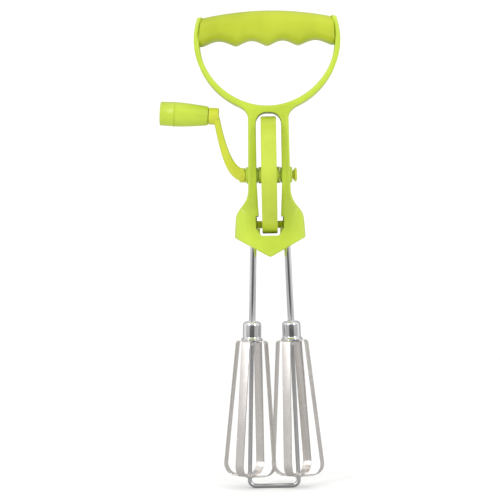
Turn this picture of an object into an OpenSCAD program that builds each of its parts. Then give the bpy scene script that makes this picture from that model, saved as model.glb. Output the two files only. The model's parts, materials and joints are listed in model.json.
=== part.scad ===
// Hand-cranked rotary egg beater, in millimetres.
// Origin: the middle of the hand grip. +Z up, +X along the grip and the crank axle, -Y towards the cook.

/* [Grip] */
// Outer width of the bow that carries the grip
bow_w = 88.4; // [74:0.2:108]
// Height of the grip's crown above its axis, at mid span
grip_top = 10.4; // [9:0.1:13]
// Depth of the finger ridges below the grip's axis
grip_bottom = 11; // [10:0.1:13]
// Width of the grip, front to back
grip_depth = 21; // [18:0.5:26]
// How far the crown falls from mid span to the ends
crown_fall = 4.8; // [1:0.1:5.6]
// Width of each of the two middle finger grooves
finger_pitch = 18.8; // [16:0.2:22]
// Depth of each finger groove
groove_depth = 3.3; // [1:0.1:3.4]
// Wall of the grip's moulded half shells
grip_wall = 2.2; // [1.4:0.1:2.8]

/* [Bow and legs] */
// Drop from the grip's axis to the bottom of the hand opening
bow_drop = 47.5; // [39:0.5:58]
// Thickness of the bow's strap beside the hand
strap = 3.2; // [2.4:0.1:5]
// Thickness of the bow where it closes over the wheel slot
bridge = 4; // [3:0.1:7]
// Thickness of each leg, seen from the front
leg_t = 4.5; // [3.4:0.1:6]
// Width of the legs, front to back
leg_depth = 15; // [12:0.5:18]
// Width of the bow at the grip, front to back
cheek_depth = 19; // [15:0.5:24]
// Width of the gear housing, front to back
housing_depth = 23; // [20:0.5:28]
// Wall of the gear housing outside each pinion
housing_wall = 4.1; // [2:0.1:5]
// Slope of the housing's pointed underside, in degrees
vee_slope = 29.3; // [20:0.1:35]

/* [Drive wheel] */
// Outer radius of the wheel
wheel_r = 35.5; // [30:0.5:43]
// Width of the wheel's rim
rim_w = 9.2; // [8.4:0.1:11]
// Teeth on each face of the wheel
wheel_teeth = 60; // [48:12:72]
// Teeth on each pinion
pinion_teeth = 12; // [12:1:14]
// Length of the wheel's teeth along the radius
tooth_face = 5.6; // [4.6:0.1:6.4]
// Plain band of rim outside the teeth
rim_band = 2.8; // [2:0.1:4]
// Radius of the wheel's hub
hub_r = 5; // [4.6:0.1:7]
// Half the length of the wheel's hub
hub_half = 6.4; // [5.6:0.1:8]

/* [Crank] */
// Distance from the axle to the knob's pin, at the crank's face
crank_r = 36; // [28:0.2:42]
// Offset of the crank arm's outer end from the centre plane
crank_offset = 30; // [26:0.5:36]
// Width of the crank arm, front to back
arm_w = 8.4; // [6:0.1:11]
// Length of the knob, cap included
knob_len = 29.4; // [24:0.2:36]
// Largest radius of the knob
knob_r = 7.4; // [6:0.1:9]
// Outward tilt of the knob's pin, in degrees
knob_tilt = 4; // [0:0.5:6]

/* [Beaters] */
// Outward lean of each beater's axis, in degrees
splay = 1.8; // [0.5:0.1:2.2]
// Distance down the shaft from the pinion's middle to the collar
collar_drop = 58.8; // [48:0.2:70]
// Height of the collar, flange included
collar_h = 11.6; // [9:0.1:16]
// Length of the blades, from the collar to the foot
blade_len = 82.6; // [68:0.2:100]
// Radius of the blades just below the collar
blade_r_top = 9.2; // [8.6:0.1:11]
// Radius of the blades at their widest
blade_r_foot = 16.2; // [13:0.1:16.6]
// Width of the blade strip
blade_w = 5.4; // [4:0.1:6]
// Thickness of the blade strip
blade_t = 0.6; // [0.4:0.1:0.8]

/* [Wire] */
// Radius of the fixed wire that the beaters turn on
wire_r = 1.3; // [1.1:0.05:1.5]
// Wall of the turning tube
tube_wall = 0.6; // [0.4:0.05:0.7]
// Bend radius at the wire's lower corners
wire_bend = 3.6; // [3:0.1:5]

/* [Hidden] */
$fn = 64;

// Clearances
run_gap = 0.075;   // radial gap of a turning fit
face_gap = 0.2;    // gap between faces that turn past each other
seam = 0.15;       // gap where two mouldings meet
wheel_gap_top = 2.2;
wheel_gap_bottom = 1.4;
cut = 1;           // how far a cutting shape runs past what it cuts

// Grip
bow_z = -8;                        // height of the bow's widest point
bow_power = 1.95;                  // exponent of the bow's superellipse
bow_in = bow_w / 2 - strap;        // half width of the hand opening
cheek_bow = 0.0095;                // how fast the cheeks' inner faces draw in
cheek_out_bow = 0.0125;            // the same for their outer faces
end_ridge_x = bow_in - 1.2;        // place of the grip's last finger ridge
ridge_soft = 0.02;                 // rounding of the finger ridges
crown_r = (pow(bow_w / 2, 2) + pow(crown_fall, 2)) / (2 * crown_fall);
bar_top = 4;
bar_bottom = -5;
bar_half_depth = 4.5;
grip_pin_r = 1.5;
grip_pin_x = bow_in * 0.5;
grip_rib_t = 1.6;

// Wheel and pinions
rim_in_r = wheel_r - rim_band;
tooth_in_r = rim_in_r - tooth_face;
mesh_r = rim_in_r - tooth_face / 2;
pinion_pitch_r = mesh_r * pinion_teeth / wheel_teeth;
tooth_module = 2 * pinion_pitch_r / pinion_teeth;
tooth_tip_w = rim_w / 2 - 0.15;             // tooth tips stay just below the rim's face
wheel_addendum = 0.52 * tooth_module;
wheel_dedendum = 1.25 * tooth_module;
pitch_w = tooth_tip_w - wheel_addendum;     // distance of the pitch plane from mid wheel
tooth_root_w = pitch_w - wheel_dedendum;
pinion_tip_r = pinion_pitch_r + 0.9 * tooth_module;
pinion_root_r = pinion_pitch_r - 0.88 * tooth_module;
pressure_angle = 20;
backlash = 0.2 * tooth_module * PI;
pinion_tooth_t = 0.42 * tooth_module * PI;
gap_pitch_w = pinion_tooth_t + backlash;
pinion_h = tooth_face - 1.4;
web_half = 1.3;
rib_half = 2.4;
rib_t = 2.6;
spokes = 6;

// Places along Z and X
slot_top = -bow_drop - bridge;
axle_z = slot_top - wheel_gap_top - wheel_r;
mesh_z = axle_z - mesh_r;
shaft_x = pitch_w + pinion_pitch_r;         // half spacing of the shafts at the mesh
floor_z = mesh_z - pinion_h / 2 - 0.35;
pocket_top = mesh_z + pinion_h / 2 + 2.7;
slot_bottom = axle_z - wheel_r - wheel_gap_bottom;
boss_t = 1.1;
slot_half = hub_half + face_gap + boss_t;
slot_arch_r = 6.4;                          // rounding of the slot's top
window_half = slot_half + 0.6;              // half width of the pinions' window
pit_half = rim_w / 2 + 1.5;                 // half width of the gap below the wheel
sill_depth = 3;                             // depth of the sloped sills under the window
leg_out = slot_half + leg_t;
leg_out_low = leg_out + 0.7;
pocket_r = pinion_tip_r + 0.6;
housing_half = shaft_x + pocket_r + housing_wall;
housing_corner_z = slot_bottom - 1;
vee_tip_z = housing_corner_z - housing_half * tan(vee_slope);
vee_round = 2.5;                            // rounding of the housing's lowest point
flare_top_z = pocket_top + 11;
flare_low_z = pocket_top + 1.2;

// Axle and crank
journal_r = 3.5;             // the axle in the crank's leg
square_w = 4.9;              // the square that drives the wheel
tail_r = 2.4;                // the axle in the far leg
stub_r = 1.5;                // the end that the cap is pressed on
boss_r = 5;
hub_face_x = -(leg_out_low + boss_t + face_gap);
tail_end_x = leg_out_low + boss_t + 0.5;
cap_neck = 0.8;
cap_t = 1.6;
crank_hub_r = 4.3;
collar_t = 6.2;              // thickness of the crank's outer boss
crank_boss_r = 5.1;
arm_rise = 0.4;              // how far above the axle the arm starts
arm_t_hub = 8.4;             // thickness of the arm at its hub
arm_t_top = 3.9;             // and at its outer boss
pin_r = 2;
pin_depth = 5;
pin_head_r = 3.6;
pin_head_t = 1.4;
cap_len = 0.3 * knob_len;
sleeve_len = knob_len - cap_len - 0.2;

// Beaters
tube_bore_r = wire_r + run_gap;
tube_r = tube_bore_r + tube_wall;
wire_socket_len = 9.5;
tube_top = mesh_z - pocket_top + 0.4;       // below the socket's block, counted up the shaft
tube_tail = 3;
collar_r = 5.6;
collar_round = 2.2;
collar_sheet = 0.8;
flange_r = 6.6;
flange_t = 0.9;
washer_r = 5.2;
washer_t = 0.8;
tab_in_r = max(tube_r + 0.4, blade_w / 2 + 0.3);
tab_z = collar_drop + collar_h;
foot_z = tab_z + blade_len;
foot_round = 7;
foot_rise = 0.9;                            // how far the loops' feet rise to their corners
tab_round = 1.6;
bend_swell = 0.03;                          // the wire is a touch fuller in its bends
bend_overlap = 0.2;                         // how far its straights run into them
eyelet_r = wire_r + 0.1;
eyelet_wall = 0.5;
eyelet_flange_r = 2.6;
eyelet_flange_t = 0.5;
blade_rest_angle = -22.5;
wire_foot_z = foot_z + 5.6;                 // down the shaft to the level of the wire's crossing
cross_z = mesh_z - wire_foot_z * cos(splay);
corner_x = shaft_x + wire_foot_z * sin(splay);

// ---------- Outline helpers ----------

function unit(v) = v / norm(v);
function flip_x(points) = [for (i = [len(points) - 1 : -1 : 0]) [-points[i].x, points[i].y]];
function mirrored(points) = concat(points, flip_x(points));

// One corner of an outline, rounded to radius r. It takes the corner and the points before and after it.
function corner_arc(before, p, after, r, steps = 7) =
  let (
    u = unit(before - p),
    v = unit(after - p),
    half = acos(max(-1, min(1, u * v))) / 2,
    reach = r / tan(half),
    centre = p + unit(u + v) * r / sin(half),
    a = p + u * reach - centre,
    b = p + v * reach - centre,
    start = atan2(a.y, a.x),
    turn = atan2(a.x * b.y - a.y * b.x, a * b)
  )
  [for (i = [0 : steps]) centre + r * [cos(start + turn * i / steps), sin(start + turn * i / steps)]];

// An outline from corners [x, y, radius]. A radius of 0 keeps the corner sharp.
function rounded(corners, closed = true) =
  let (n = len(corners), xy = [for (c = corners) [c[0], c[1]]])
  [for (i = [0 : n - 1])
    for (q = corners[i][2] == 0 || (!closed && (i == 0 || i == n - 1))
        ? [xy[i]]
        : corner_arc(xy[(i + n - 1) % n], xy[i], xy[(i + 1) % n], corners[i][2]))
      q];

// Points of a quarter superellipse with half axes a and b, from its side at 0 degrees towards its end at 90.
function superellipse(a, b, power, last, steps) =
  [for (i = [0 : steps]) let (t = last * i / steps)
    [a * pow(cos(t), 2 / power), b * pow(sin(t), 2 / power)]];

function bezier(p, t) =
  pow(1 - t, 3) * p[0] + 3 * t * pow(1 - t, 2) * p[1] + 3 * t * t * (1 - t) * p[2] + pow(t, 3) * p[3];

// A strip along a path, with its thickness given at each point.
function ribbon(path, thick) =
  let (
    n = len(path),
    side = [for (i = [0 : n - 1])
      let (d = unit(path[min(i + 1, n - 1)] - path[max(i - 1, 0)])) [-d.y, d.x] * thick[i] / 2]
  )
  concat([for (i = [0 : n - 1]) path[i] + side[i]], [for (i = [n - 1 : -1 : 0]) path[i] - side[i]]);

// Extrudes a drawing of X and Z front to back.
module front_to_back(depth) rotate([90, 0, 0]) linear_extrude(height = depth, center = true) children();

// Extrudes a drawing of Y and Z from side to side.
module side_to_side(width) rotate([90, 0, 90]) linear_extrude(height = width, center = true) children();

// A cylinder along X between two places.
module bar_x(x1, x2, r1, r2 = undef)
  translate([x1, 0, 0]) rotate([0, 90, 0]) cylinder(h = x2 - x1, r1 = r1, r2 = is_undef(r2) ? r1 : r2);

// Puts a child, drawn along its own Z with the mesh at 0, on a beater's axis. side is -1 or 1.
module on_shaft(side) translate([side * shaft_x, 0, mesh_z]) rotate([0, -side * splay, 0]) children();

// ---------- Frame: one moulding of bow, legs and gear housing ----------

function cheek_in(z) = bow_in - cheek_bow * pow(z - bow_z, 2);
function cheek_out(z) = bow_w / 2 - cheek_out_bow * pow(z - bow_z, 2);
function crown_z(x) = grip_top - crown_r + sqrt(crown_r * crown_r - x * x);

module frame_outline() {
  last = acos(pow((leg_out + 5) / (bow_w / 2), bow_power / 2));
  inner_x = bow_in - strap;
  edge_x = cheek_out(crown_z(bow_in));
  corner = [edge_x, crown_z(edge_x)];
  bow = superellipse(bow_w / 2, bow_drop + bridge + bow_z, bow_power, last, 16);
  tip_centre = vee_tip_z + vee_round / cos(vee_slope);
  right = rounded(concat(
    [[0, crown_z(inner_x), 0]],
    [for (i = [0 : 3]) let (x = inner_x + (corner.x - inner_x) * i / 3) [x, crown_z(x), 0]],
    [for (i = [1 : 3]) let (z = corner.y + (bow_z - corner.y) * i / 4) [cheek_out(z), z, 0]],
    [for (p = bow) [p.x, bow_z - p.y, 0]],
    [
      [leg_out, slot_top + 0.3, 7.5],
      [leg_out_low, flare_top_z, 16],
      [housing_half - 1, flare_low_z, 10],
      [housing_half, housing_corner_z, 1.2]
    ],
    [for (i = [4 : -1 : 0]) let (a = vee_slope * i / 4)
      [vee_round * sin(a), tip_centre - vee_round * cos(a), 0]]
  ), closed = false);
  polygon(mirrored(right));
}

module hand_opening() {
  top = grip_top + cut;
  right = concat(
    [[0, top]],
    [for (i = [0 : 5]) let (z = top + (bow_z - top) * i / 6) [cheek_in(z), z]],
    [for (p = superellipse(bow_in, bow_drop + bow_z, bow_power, 90, 24)) [p.x, bow_z - p.y]]);
  polygon(mirrored(right));
}

// The slot that the wheel turns in, with the pinions' window and the narrower pit below it.
module wheel_slot() {
  right = rounded([
    [0, slot_top, 0],
    [slot_half, slot_top, slot_arch_r],
    [slot_half, axle_z - boss_r, 0],
    [slot_half - 0.9, pocket_top, 0],
    [window_half, pocket_top, 0],
    [window_half, floor_z, 0],
    [pit_half, floor_z, 0],
    [pit_half, slot_bottom, 1.8],
    [0, slot_bottom, 0]
  ], closed = false);
  polygon(mirrored(right));
}

// The sloped sills at the window's lower corners, front and rear.
module sills() {
  low = slot_bottom + 1;
  right = [
    [0, floor_z + cut], [window_half, floor_z + cut], [window_half, floor_z], [pit_half, low], [0, low]
  ];
  for (side = [-1, 1]) translate([0, side * (housing_depth / 2 + cut - sill_depth / 2), 0])
    front_to_back(sill_depth + 2 * cut) polygon(mirrored(right));
}

// How deep the moulding is, front to back, at each height.
module depth_profile() {
  low = vee_tip_z - cut;
  high = grip_top + cut;
  right = rounded([
    [0, high, 0],
    [cheek_depth / 2, high, 0],
    [cheek_depth / 2, bow_z, 30],
    [leg_depth / 2, -bow_drop, 30],
    [leg_depth / 2, flare_top_z - 1, 12],
    [housing_depth / 2, flare_low_z, 8],
    [housing_depth / 2, low, 0],
    [0, low, 0]
  ], closed = false);
  polygon(mirrored(right));
}

// The housing seen from above, with its rounded ends. Above the flare nothing is trimmed.
module plan_trim() {
  end = housing_depth / 2 - 2;
  x = housing_half;
  y = housing_depth / 2;
  translate([0, 0, vee_tip_z - cut]) linear_extrude(height = flare_top_z - vee_tip_z + cut)
    polygon(rounded([[x, y, end], [-x, y, end], [-x, -y, end], [x, -y, end]]));
  translate([0, 0, (flare_top_z + grip_top) / 2])
    cube([bow_w + 2, cheek_depth + leg_depth, grip_top - flare_top_z + 2 * cut], center = true);
}

module crossbar() {
  half = cheek_in(0) + strap / 4;
  translate([-half, -bar_half_depth, bar_bottom])
    cube([2 * half, 2 * bar_half_depth, bar_top - bar_bottom]);
}

module leg_bosses() {
  translate([0, 0, axle_z]) {
    bar_x(-leg_out_low - boss_t, -leg_out, boss_r);
    bar_x(-slot_half - 0.5, -slot_half + boss_t, boss_r - 0.4);
    bar_x(slot_half - boss_t, slot_half + 0.5, boss_r - 0.4);
    bar_x(leg_out, leg_out_low + boss_t, boss_r, boss_r - 1.5);
  }
}

module frame() color("yellowgreen") difference() {
  union() {
    intersection() {
      difference() {
        front_to_back(housing_depth + 2 * cut) frame_outline();
        front_to_back(housing_depth + 4 * cut) hand_opening();
        front_to_back(housing_depth + 4 * cut) wheel_slot();
        sills();
      }
      side_to_side(bow_w + 2 * cut) depth_profile();
      plan_trim();
    }
    crossbar();
    leg_bosses();
  }
  for (side = [-1, 1]) {
    on_shaft(side) {
      translate([0, 0, floor_z - mesh_z]) cylinder(h = pocket_top - floor_z, r = pocket_r);
      translate([0, 0, floor_z - mesh_z - housing_half])
        cylinder(h = housing_half + cut, r = tube_r + run_gap);
      cylinder(h = pocket_top - mesh_z + wire_socket_len, r = wire_r);
    }
    translate([side * grip_pin_x, 0, (bar_top + bar_bottom) / 2])
      rotate([90, 0, 0]) cylinder(h = 3 * bar_half_depth, r = grip_pin_r + seam, center = true);
  }
  translate([0, 0, axle_z]) {
    bar_x(-leg_out_low - 2 * boss_t, 0, journal_r + run_gap);
    bar_x(0, leg_out_low + 2 * boss_t, tail_r + run_gap);
  }
}

// ---------- Grip: two half shells round the bow's crossbar ----------

// Counts the finger grooves out from the middle: two of finger_pitch, and an outer one on either side.
function grooves_to(x) =
  abs(x) < finger_pitch ? abs(x) / finger_pitch : 1 + (abs(x) - finger_pitch) / (end_ridge_x - finger_pitch);
function belly_z(x) =
  -grip_bottom + groove_depth * pow(pow(sin(180 * grooves_to(x)), 2) + ridge_soft, 0.65);

module grip_outline(inset) {
  half = bow_in - 0.6;
  steps = 48;
  low = [for (i = [0 : steps]) let (x = half - 2 * half * i / steps) [x, inset + belly_z(x)]];
  crown = [for (i = [0 : 12]) let (x = -half + half * i / 6) [x, crown_z(x) - inset]];
  ends = [for (i = [0 : 8]) let (z = grip_bottom * (i / 4 - 1)) [cheek_in(z) - seam - inset, z]];
  intersection() {
    polygon(concat(low, crown));
    polygon(concat(ends, flip_x(ends)));
  }
}

module grip_section(inset) {
  quarter = superellipse(grip_depth / 2 - inset, grip_bottom + 0.3 - inset, 2.5, 90, 10);
  half = concat(quarter, [for (i = [9 : -1 : 0]) [-quarter[i].x, quarter[i].y]]);
  polygon(concat(half, [for (i = [1 : 19]) [-half[i].x, -half[i].y]]));
}

module grip_body(inset) intersection() {
  front_to_back(grip_depth + 2) grip_outline(inset);
  side_to_side(bow_w) grip_section(inset);
}

// One half of the grip, with its ribs seated on the crossbar. side is -1 for the front and 1 for the rear.
module grip_half(side) {
  big = bow_w + 10;
  socket_depth = 3;
  difference() {
    union() {
      difference() {
        grip_body(0);
        grip_body(grip_wall);
      }
      for (x = [-1, 0, 1]) intersection() {
        grip_body(grip_wall / 2);
        translate([x * bow_in * 0.7 - grip_rib_t / 2, -grip_depth / 2, -grip_bottom])
          cube([grip_rib_t, grip_depth, grip_bottom + grip_top]);
      }
      for (x = [-1, 1]) intersection() {
        grip_body(grip_wall / 2);
        translate([x * grip_pin_x, 0, (bar_top + bar_bottom) / 2])
          rotate([90, 0, 0]) cylinder(h = grip_depth, r = grip_pin_r * 2, center = true);
      }
    }
    translate([-big / 2, side > 0 ? -big : 0, -big / 2]) cube([big, big, big]);
    translate([-big / 2, -bar_half_depth, bar_bottom]) cube([big, 2 * bar_half_depth, bar_top - bar_bottom]);
    if (side > 0) for (x = [-1, 1])
      translate([x * grip_pin_x, bar_half_depth - cut, (bar_top + bar_bottom) / 2])
        rotate([-90, 0, 0]) cylinder(h = socket_depth + cut, r = grip_pin_r);
  }
  if (side < 0) for (x = [-1, 1])
    translate([x * grip_pin_x, -bar_half_depth - 0.5, (bar_top + bar_bottom) / 2])
      rotate([-90, 0, 0]) cylinder(h = 2 * bar_half_depth + 0.5 + socket_depth - 0.2, r = grip_pin_r);
}

module grip_front() color("olivedrab") grip_half(-1);
module grip_rear() color("olivedrab") grip_half(1);

// ---------- Drive wheel, with teeth on both faces ----------

module tooth_gap() {
  slope = tan(pressure_angle);
  root = gap_pitch_w / 2 - (pitch_w - tooth_root_w) * slope;
  open_w = tooth_tip_w + 0.5;
  mouth = gap_pitch_w / 2 + (open_w - pitch_w) * slope;
  translate([tooth_in_r - 0.5, 0, 0]) rotate([90, 0, 90]) linear_extrude(height = tooth_face + 0.5)
    polygon([[-root, tooth_root_w], [root, tooth_root_w], [mouth, open_w], [-mouth, open_w]]);
}

module wheel_window() {
  inner = hub_r + 3.4;
  outer = tooth_in_r - 3.4;
  turn = 180 / spokes;
  side_in = asin(3 / inner);
  side_out = asin(3 / outer);
  corners = concat(
    [for (i = [-2 : 2]) let (a = (turn - side_in) * i / 2)
      [inner * cos(a), inner * sin(a), abs(i) == 2 ? 0.8 : 0]],
    [for (i = [3 : -1 : -3]) let (a = (turn - side_out) * i / 3)
      [outer * cos(a), outer * sin(a), abs(i) == 3 ? 2.2 : 0]]);
  rotate([0, 0, turn]) linear_extrude(height = 4 * rib_half, center = true) polygon(rounded(corners));
}

module drive_wheel() color("greenyellow") translate([0, 0, axle_z]) rotate([0, 90, 0]) difference() {
  union() {
    rotate_extrude() polygon([
      [0, -hub_half], [hub_r, -hub_half], [hub_r, -web_half], [tooth_in_r - 1.6, -web_half],
      [tooth_in_r - 1.6, -tooth_root_w], [tooth_in_r, -tooth_root_w], [tooth_in_r, -tooth_tip_w],
      [rim_in_r, -tooth_tip_w], [rim_in_r, -rim_w / 2], [wheel_r - 0.5, -rim_w / 2],
      [wheel_r, -rim_w / 2 + 0.5], [wheel_r, rim_w / 2 - 0.5], [wheel_r - 0.5, rim_w / 2],
      [rim_in_r, rim_w / 2], [rim_in_r, tooth_tip_w],
      [tooth_in_r, tooth_tip_w], [tooth_in_r, tooth_root_w], [tooth_in_r - 1.6, tooth_root_w],
      [tooth_in_r - 1.6, web_half], [hub_r, web_half], [hub_r, hub_half], [0, hub_half]
    ]);
    for (i = [0 : spokes - 1]) rotate([0, 0, 360 * i / spokes])
      translate([hub_r - 1, -rib_t / 2, -rib_half]) cube([tooth_in_r - 1 - hub_r, rib_t, 2 * rib_half]);
  }
  for (i = [0 : wheel_teeth - 1]) rotate([0, 0, 360 * i / wheel_teeth]) {
    tooth_gap();
    mirror([0, 0, 1]) tooth_gap();
  }
  for (i = [0 : spokes - 1]) rotate([0, 0, 360 * i / spokes]) wheel_window();
  cube([square_w + 2 * run_gap, square_w + 2 * run_gap, 3 * hub_half], center = true);
}

// ---------- Crank, its pin and its knob ----------

// Puts a child, drawn along its own Z, on the knob's axis with 0 at the arm's outer boss.
module on_knob()
  translate([-crank_offset, 0, axle_z + crank_r]) rotate([0, -90 + knob_tilt, 0]) children();

module crank_arm() {
  top = [-crank_offset - 1.4, axle_z + crank_r - 1];
  start_z = axle_z + arm_rise;
  path = [
    [hub_face_x - 1, start_z], [hub_face_x - 9, start_z],
    [top.x + 4, axle_z + 0.38 * crank_r], top
  ];
  steps = 14;
  line = [for (i = [0 : steps]) bezier(path, i / steps)];
  thick = [for (i = [0 : steps]) arm_t_top + (arm_t_hub - arm_t_top) * pow(1 - i / steps, 1.6)];
  front_to_back(arm_w) polygon(ribbon(line, thick));
}

module crank() color("gold") difference() {
  union() {
    crank_arm();
    translate([0, 0, axle_z]) {
      bar_x(hub_face_x - 4, hub_face_x, crank_hub_r);
      bar_x(hub_face_x - 2, -hub_half, journal_r);
      translate([-hub_half - 0.5, -square_w / 2, -square_w / 2])
        cube([2 * hub_half + 0.5, square_w, square_w]);
      bar_x(hub_half - 0.5, tail_end_x, tail_r);
      bar_x(tail_end_x - 0.5, tail_end_x + cap_neck + cap_t - 0.4, stub_r);
    }
    on_knob() cylinder(h = collar_t, r = crank_boss_r);
  }
  on_knob() translate([0, 0, collar_t - pin_depth]) cylinder(h = pin_depth + cut, r = pin_r);
}

module axle_cap() color("greenyellow") translate([0, 0, axle_z]) difference() {
  union() {
    bar_x(tail_end_x, tail_end_x + cap_neck + 0.1, tail_r - 0.2);
    bar_x(tail_end_x + cap_neck, tail_end_x + cap_neck + cap_t, crank_hub_r - 0.1);
  }
  bar_x(tail_end_x - cut, tail_end_x + cap_neck + cap_t - 0.4, stub_r);
}

module knob_pin() color("silver") on_knob() {
  translate([0, 0, collar_t - pin_depth]) cylinder(h = pin_depth + sleeve_len - 2, r = pin_r);
  translate([0, 0, collar_t + sleeve_len - 2 - 0.1]) cylinder(h = pin_head_t, r = pin_head_r);
}

head_seat_z = sleeve_len - 2.2 - face_gap;   // floor of the recess for the pin's head

// The knob's barrel: slim at the crank, fullest at its far end.
module knob_sleeve() color("greenyellow") on_knob() translate([0, 0, collar_t + face_gap]) rotate_extrude()
  polygon(concat(
    [[pin_r + run_gap, 0], [knob_r - 1.8, 0]],
    [for (i = [0 : 8]) let (t = i / 8) [knob_r - 1.6 * pow(1 - t, 1.5), 0.4 + (sleeve_len - 1.6) * t]],
    [[knob_r, sleeve_len - 1.2], [knob_r - 0.2, sleeve_len - 1.2], [knob_r - 0.2, sleeve_len]],
    [[pin_head_r + 0.6, sleeve_len], [pin_head_r + 0.6, head_seat_z], [pin_r + run_gap, head_seat_z]]));

module knob_cap() color("greenyellow") on_knob()
  translate([0, 0, collar_t + face_gap + sleeve_len]) rotate_extrude() polygon([
    [0, 0.2], [pin_head_r + 0.6, 0.2], [pin_head_r + 0.6, 0], [knob_r - 0.25, 0],
    [knob_r - 0.25, 0.2], [knob_r + 0.05, 0.2], [knob_r + 0.05, 1], [knob_r - 0.05, 1.1],
    [knob_r - 0.2, cap_len - 0.7], [knob_r - 0.8, cap_len], [0, cap_len]
  ]);

// ---------- Beaters ----------

// Half the angle of a pinion tooth at radius r, from its involute.
function involute(a) = tan(a) * 180 / PI - a;
function tooth_half(r) =
  let (base = pinion_pitch_r * cos(pressure_angle))
  pinion_tooth_t / (2 * pinion_pitch_r) * 180 / PI + involute(pressure_angle)
    - (r > base ? involute(acos(base / r)) : 0);

module pinion_outline() {
  base = pinion_pitch_r * cos(pressure_angle);
  flank = [for (i = [0 : 4]) base + (pinion_tip_r - base) * i / 4];
  polygon([for (i = [0 : pinion_teeth - 1]) for (p = concat(
    [[pinion_root_r, -tooth_half(0)]],
    [for (r = flank) [r, -tooth_half(r)]],
    [for (k = [4 : -1 : 0]) [flank[k], tooth_half(flank[k])]],
    [[pinion_root_r, tooth_half(0)]]
  )) p[0] * [cos(360 * i / pinion_teeth + p[1]), sin(360 * i / pinion_teeth + p[1])]]);
}

module pinion(side) color("yellowgreen") on_shaft(side) difference() {
  translate([0, 0, -pinion_h / 2]) linear_extrude(height = pinion_h) pinion_outline();
  cylinder(h = 2 * pinion_h, r = tube_r, center = true);
}

module tube(side) color("silver") on_shaft(side) difference() {
  translate([0, 0, -tab_z - tube_tail]) cylinder(h = tab_z + tube_tail - tube_top, r = tube_r);
  translate([0, 0, -tab_z - 2 * tube_tail]) cylinder(h = 2 * tab_z, r = tube_bore_r);
}

// A drawn steel cup, flanged at its open end.
module collar(side) color("silver") on_shaft(side) translate([0, 0, -collar_drop]) rotate_extrude()
  polygon(rounded([
    [tube_r, 0, 0],
    [collar_r, 0, collar_round],
    [collar_r, 1.8 - collar_h, 1],
    [flange_r, flange_t - collar_h, 0.3],
    [flange_r, -collar_h, 0],
    [collar_r - collar_sheet, -collar_h, 0],
    [collar_r - collar_sheet, -collar_sheet, collar_round - collar_sheet],
    [tube_r, -collar_sheet, 0]
  ]));

module clamp_washer(side) color("silver") on_shaft(side)
  translate([0, 0, -tab_z - blade_t - washer_t]) difference() {
    cylinder(h = washer_t, r = washer_r);
    cylinder(h = 3 * washer_t, r = tube_r, center = true);
  }

// A strip bent to a loop that hangs from the collar, crossing the axis at its foot. It is drawn in its own
// frame. drop lowers the crossing.
module strip_loop(drop) {
  foot = -foot_z + (1.5 - drop) * blade_t;
  top = -tab_z - blade_t / 2;
  half = rounded([
    [tab_in_r, top, 0],
    [blade_r_top, top, tab_round],
    [blade_r_foot + 0.3, foot + foot_rise, foot_round],
    [blade_w / 2 + 1, foot, 4],
    [0, foot, 0]
  ], closed = false);
  path = concat(half, [for (i = [len(half) - 2 : -1 : 0]) [-half[i].x, half[i].y]]);
  difference() {
    front_to_back(blade_w) polygon(ribbon(path, [for (p = path) blade_t]));
    translate([0, 0, foot]) cylinder(h = 4 * blade_t, r = eyelet_r + eyelet_wall, center = true);
  }
}

module blade_loop(side, turn, drop) color("gainsboro")
  on_shaft(side) rotate([0, 0, blade_rest_angle + turn]) strip_loop(drop);

module foot_eyelet(side) color("silver") on_shaft(side) translate([0, 0, -foot_z]) rotate_extrude()
  polygon([
    [eyelet_r, -eyelet_flange_t], [eyelet_flange_r, -eyelet_flange_t], [eyelet_flange_r, 0],
    [eyelet_r + eyelet_wall, 0], [eyelet_r + eyelet_wall, 2 * blade_t], [eyelet_flange_r, 2 * blade_t],
    [eyelet_flange_r, 2 * blade_t + eyelet_flange_t], [eyelet_r, 2 * blade_t + eyelet_flange_t]
  ]);

// ---------- Wire: one bent rod, fixed in the housing, that both beaters turn on ----------

module wire_frame() color("silver") {
  reach = wire_bend * tan((90 + splay) / 2);
  centre_x = corner_x - reach;
  leg_len = wire_foot_z - reach + pocket_top - mesh_z + wire_socket_len - 0.5;
  for (side = [0, 1]) mirror([side, 0, 0]) translate([centre_x, 0, cross_z + wire_bend]) {
    rotate([0, -splay, 0]) translate([wire_bend, 0, -bend_overlap])
      cylinder(h = leg_len + bend_overlap, r = wire_r);
    rotate([90, 0, 0]) rotate([0, 0, -90]) rotate_extrude(angle = 90 + splay)
      translate([wire_bend, 0]) circle(r = wire_r + bend_swell);
  }
  translate([0, 0, cross_z]) bar_x(-centre_x - bend_overlap, centre_x + bend_overlap, wire_r);
}

// ---------- Nodes ----------

frame();
grip_front();
grip_rear();
wire_frame();
crank();
drive_wheel();
axle_cap();
knob_pin();
knob_sleeve();
knob_cap();
pinion(-1);  // left_pinion
tube(-1);  // left_tube
collar(-1);  // left_collar
clamp_washer(-1);  // left_clamp_washer
blade_loop(-1, 0, 1);  // left_outer_blades
blade_loop(-1, 90, 0);  // left_inner_blades
foot_eyelet(-1);  // left_foot_eyelet
pinion(1);  // right_pinion
tube(1);  // right_tube
collar(1);  // right_collar
clamp_washer(1);  // right_clamp_washer
blade_loop(1, 0, 1);  // right_outer_blades
blade_loop(1, 90, 0);  // right_inner_blades
foot_eyelet(1);  // right_foot_eyelet
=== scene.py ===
"""Finished looks of a hand-cranked rotary egg beater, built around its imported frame.

Lengths are in millimetres until a piece is finished, when its mesh is brought to metres. The origin
is the middle of the hand grip. +Z is up, +X runs along the crank's axle, and the cook stands at -Y.
"""

import json
import logging
from dataclasses import dataclass, field
from enum import Enum
from math import acos, asin, atan2, copysign, cos, pi, radians, sin, sqrt, tan
from typing import Callable, Iterable, Optional, Sequence, Union

import bmesh
import bpy
from mathutils import Matrix, Vector


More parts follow.
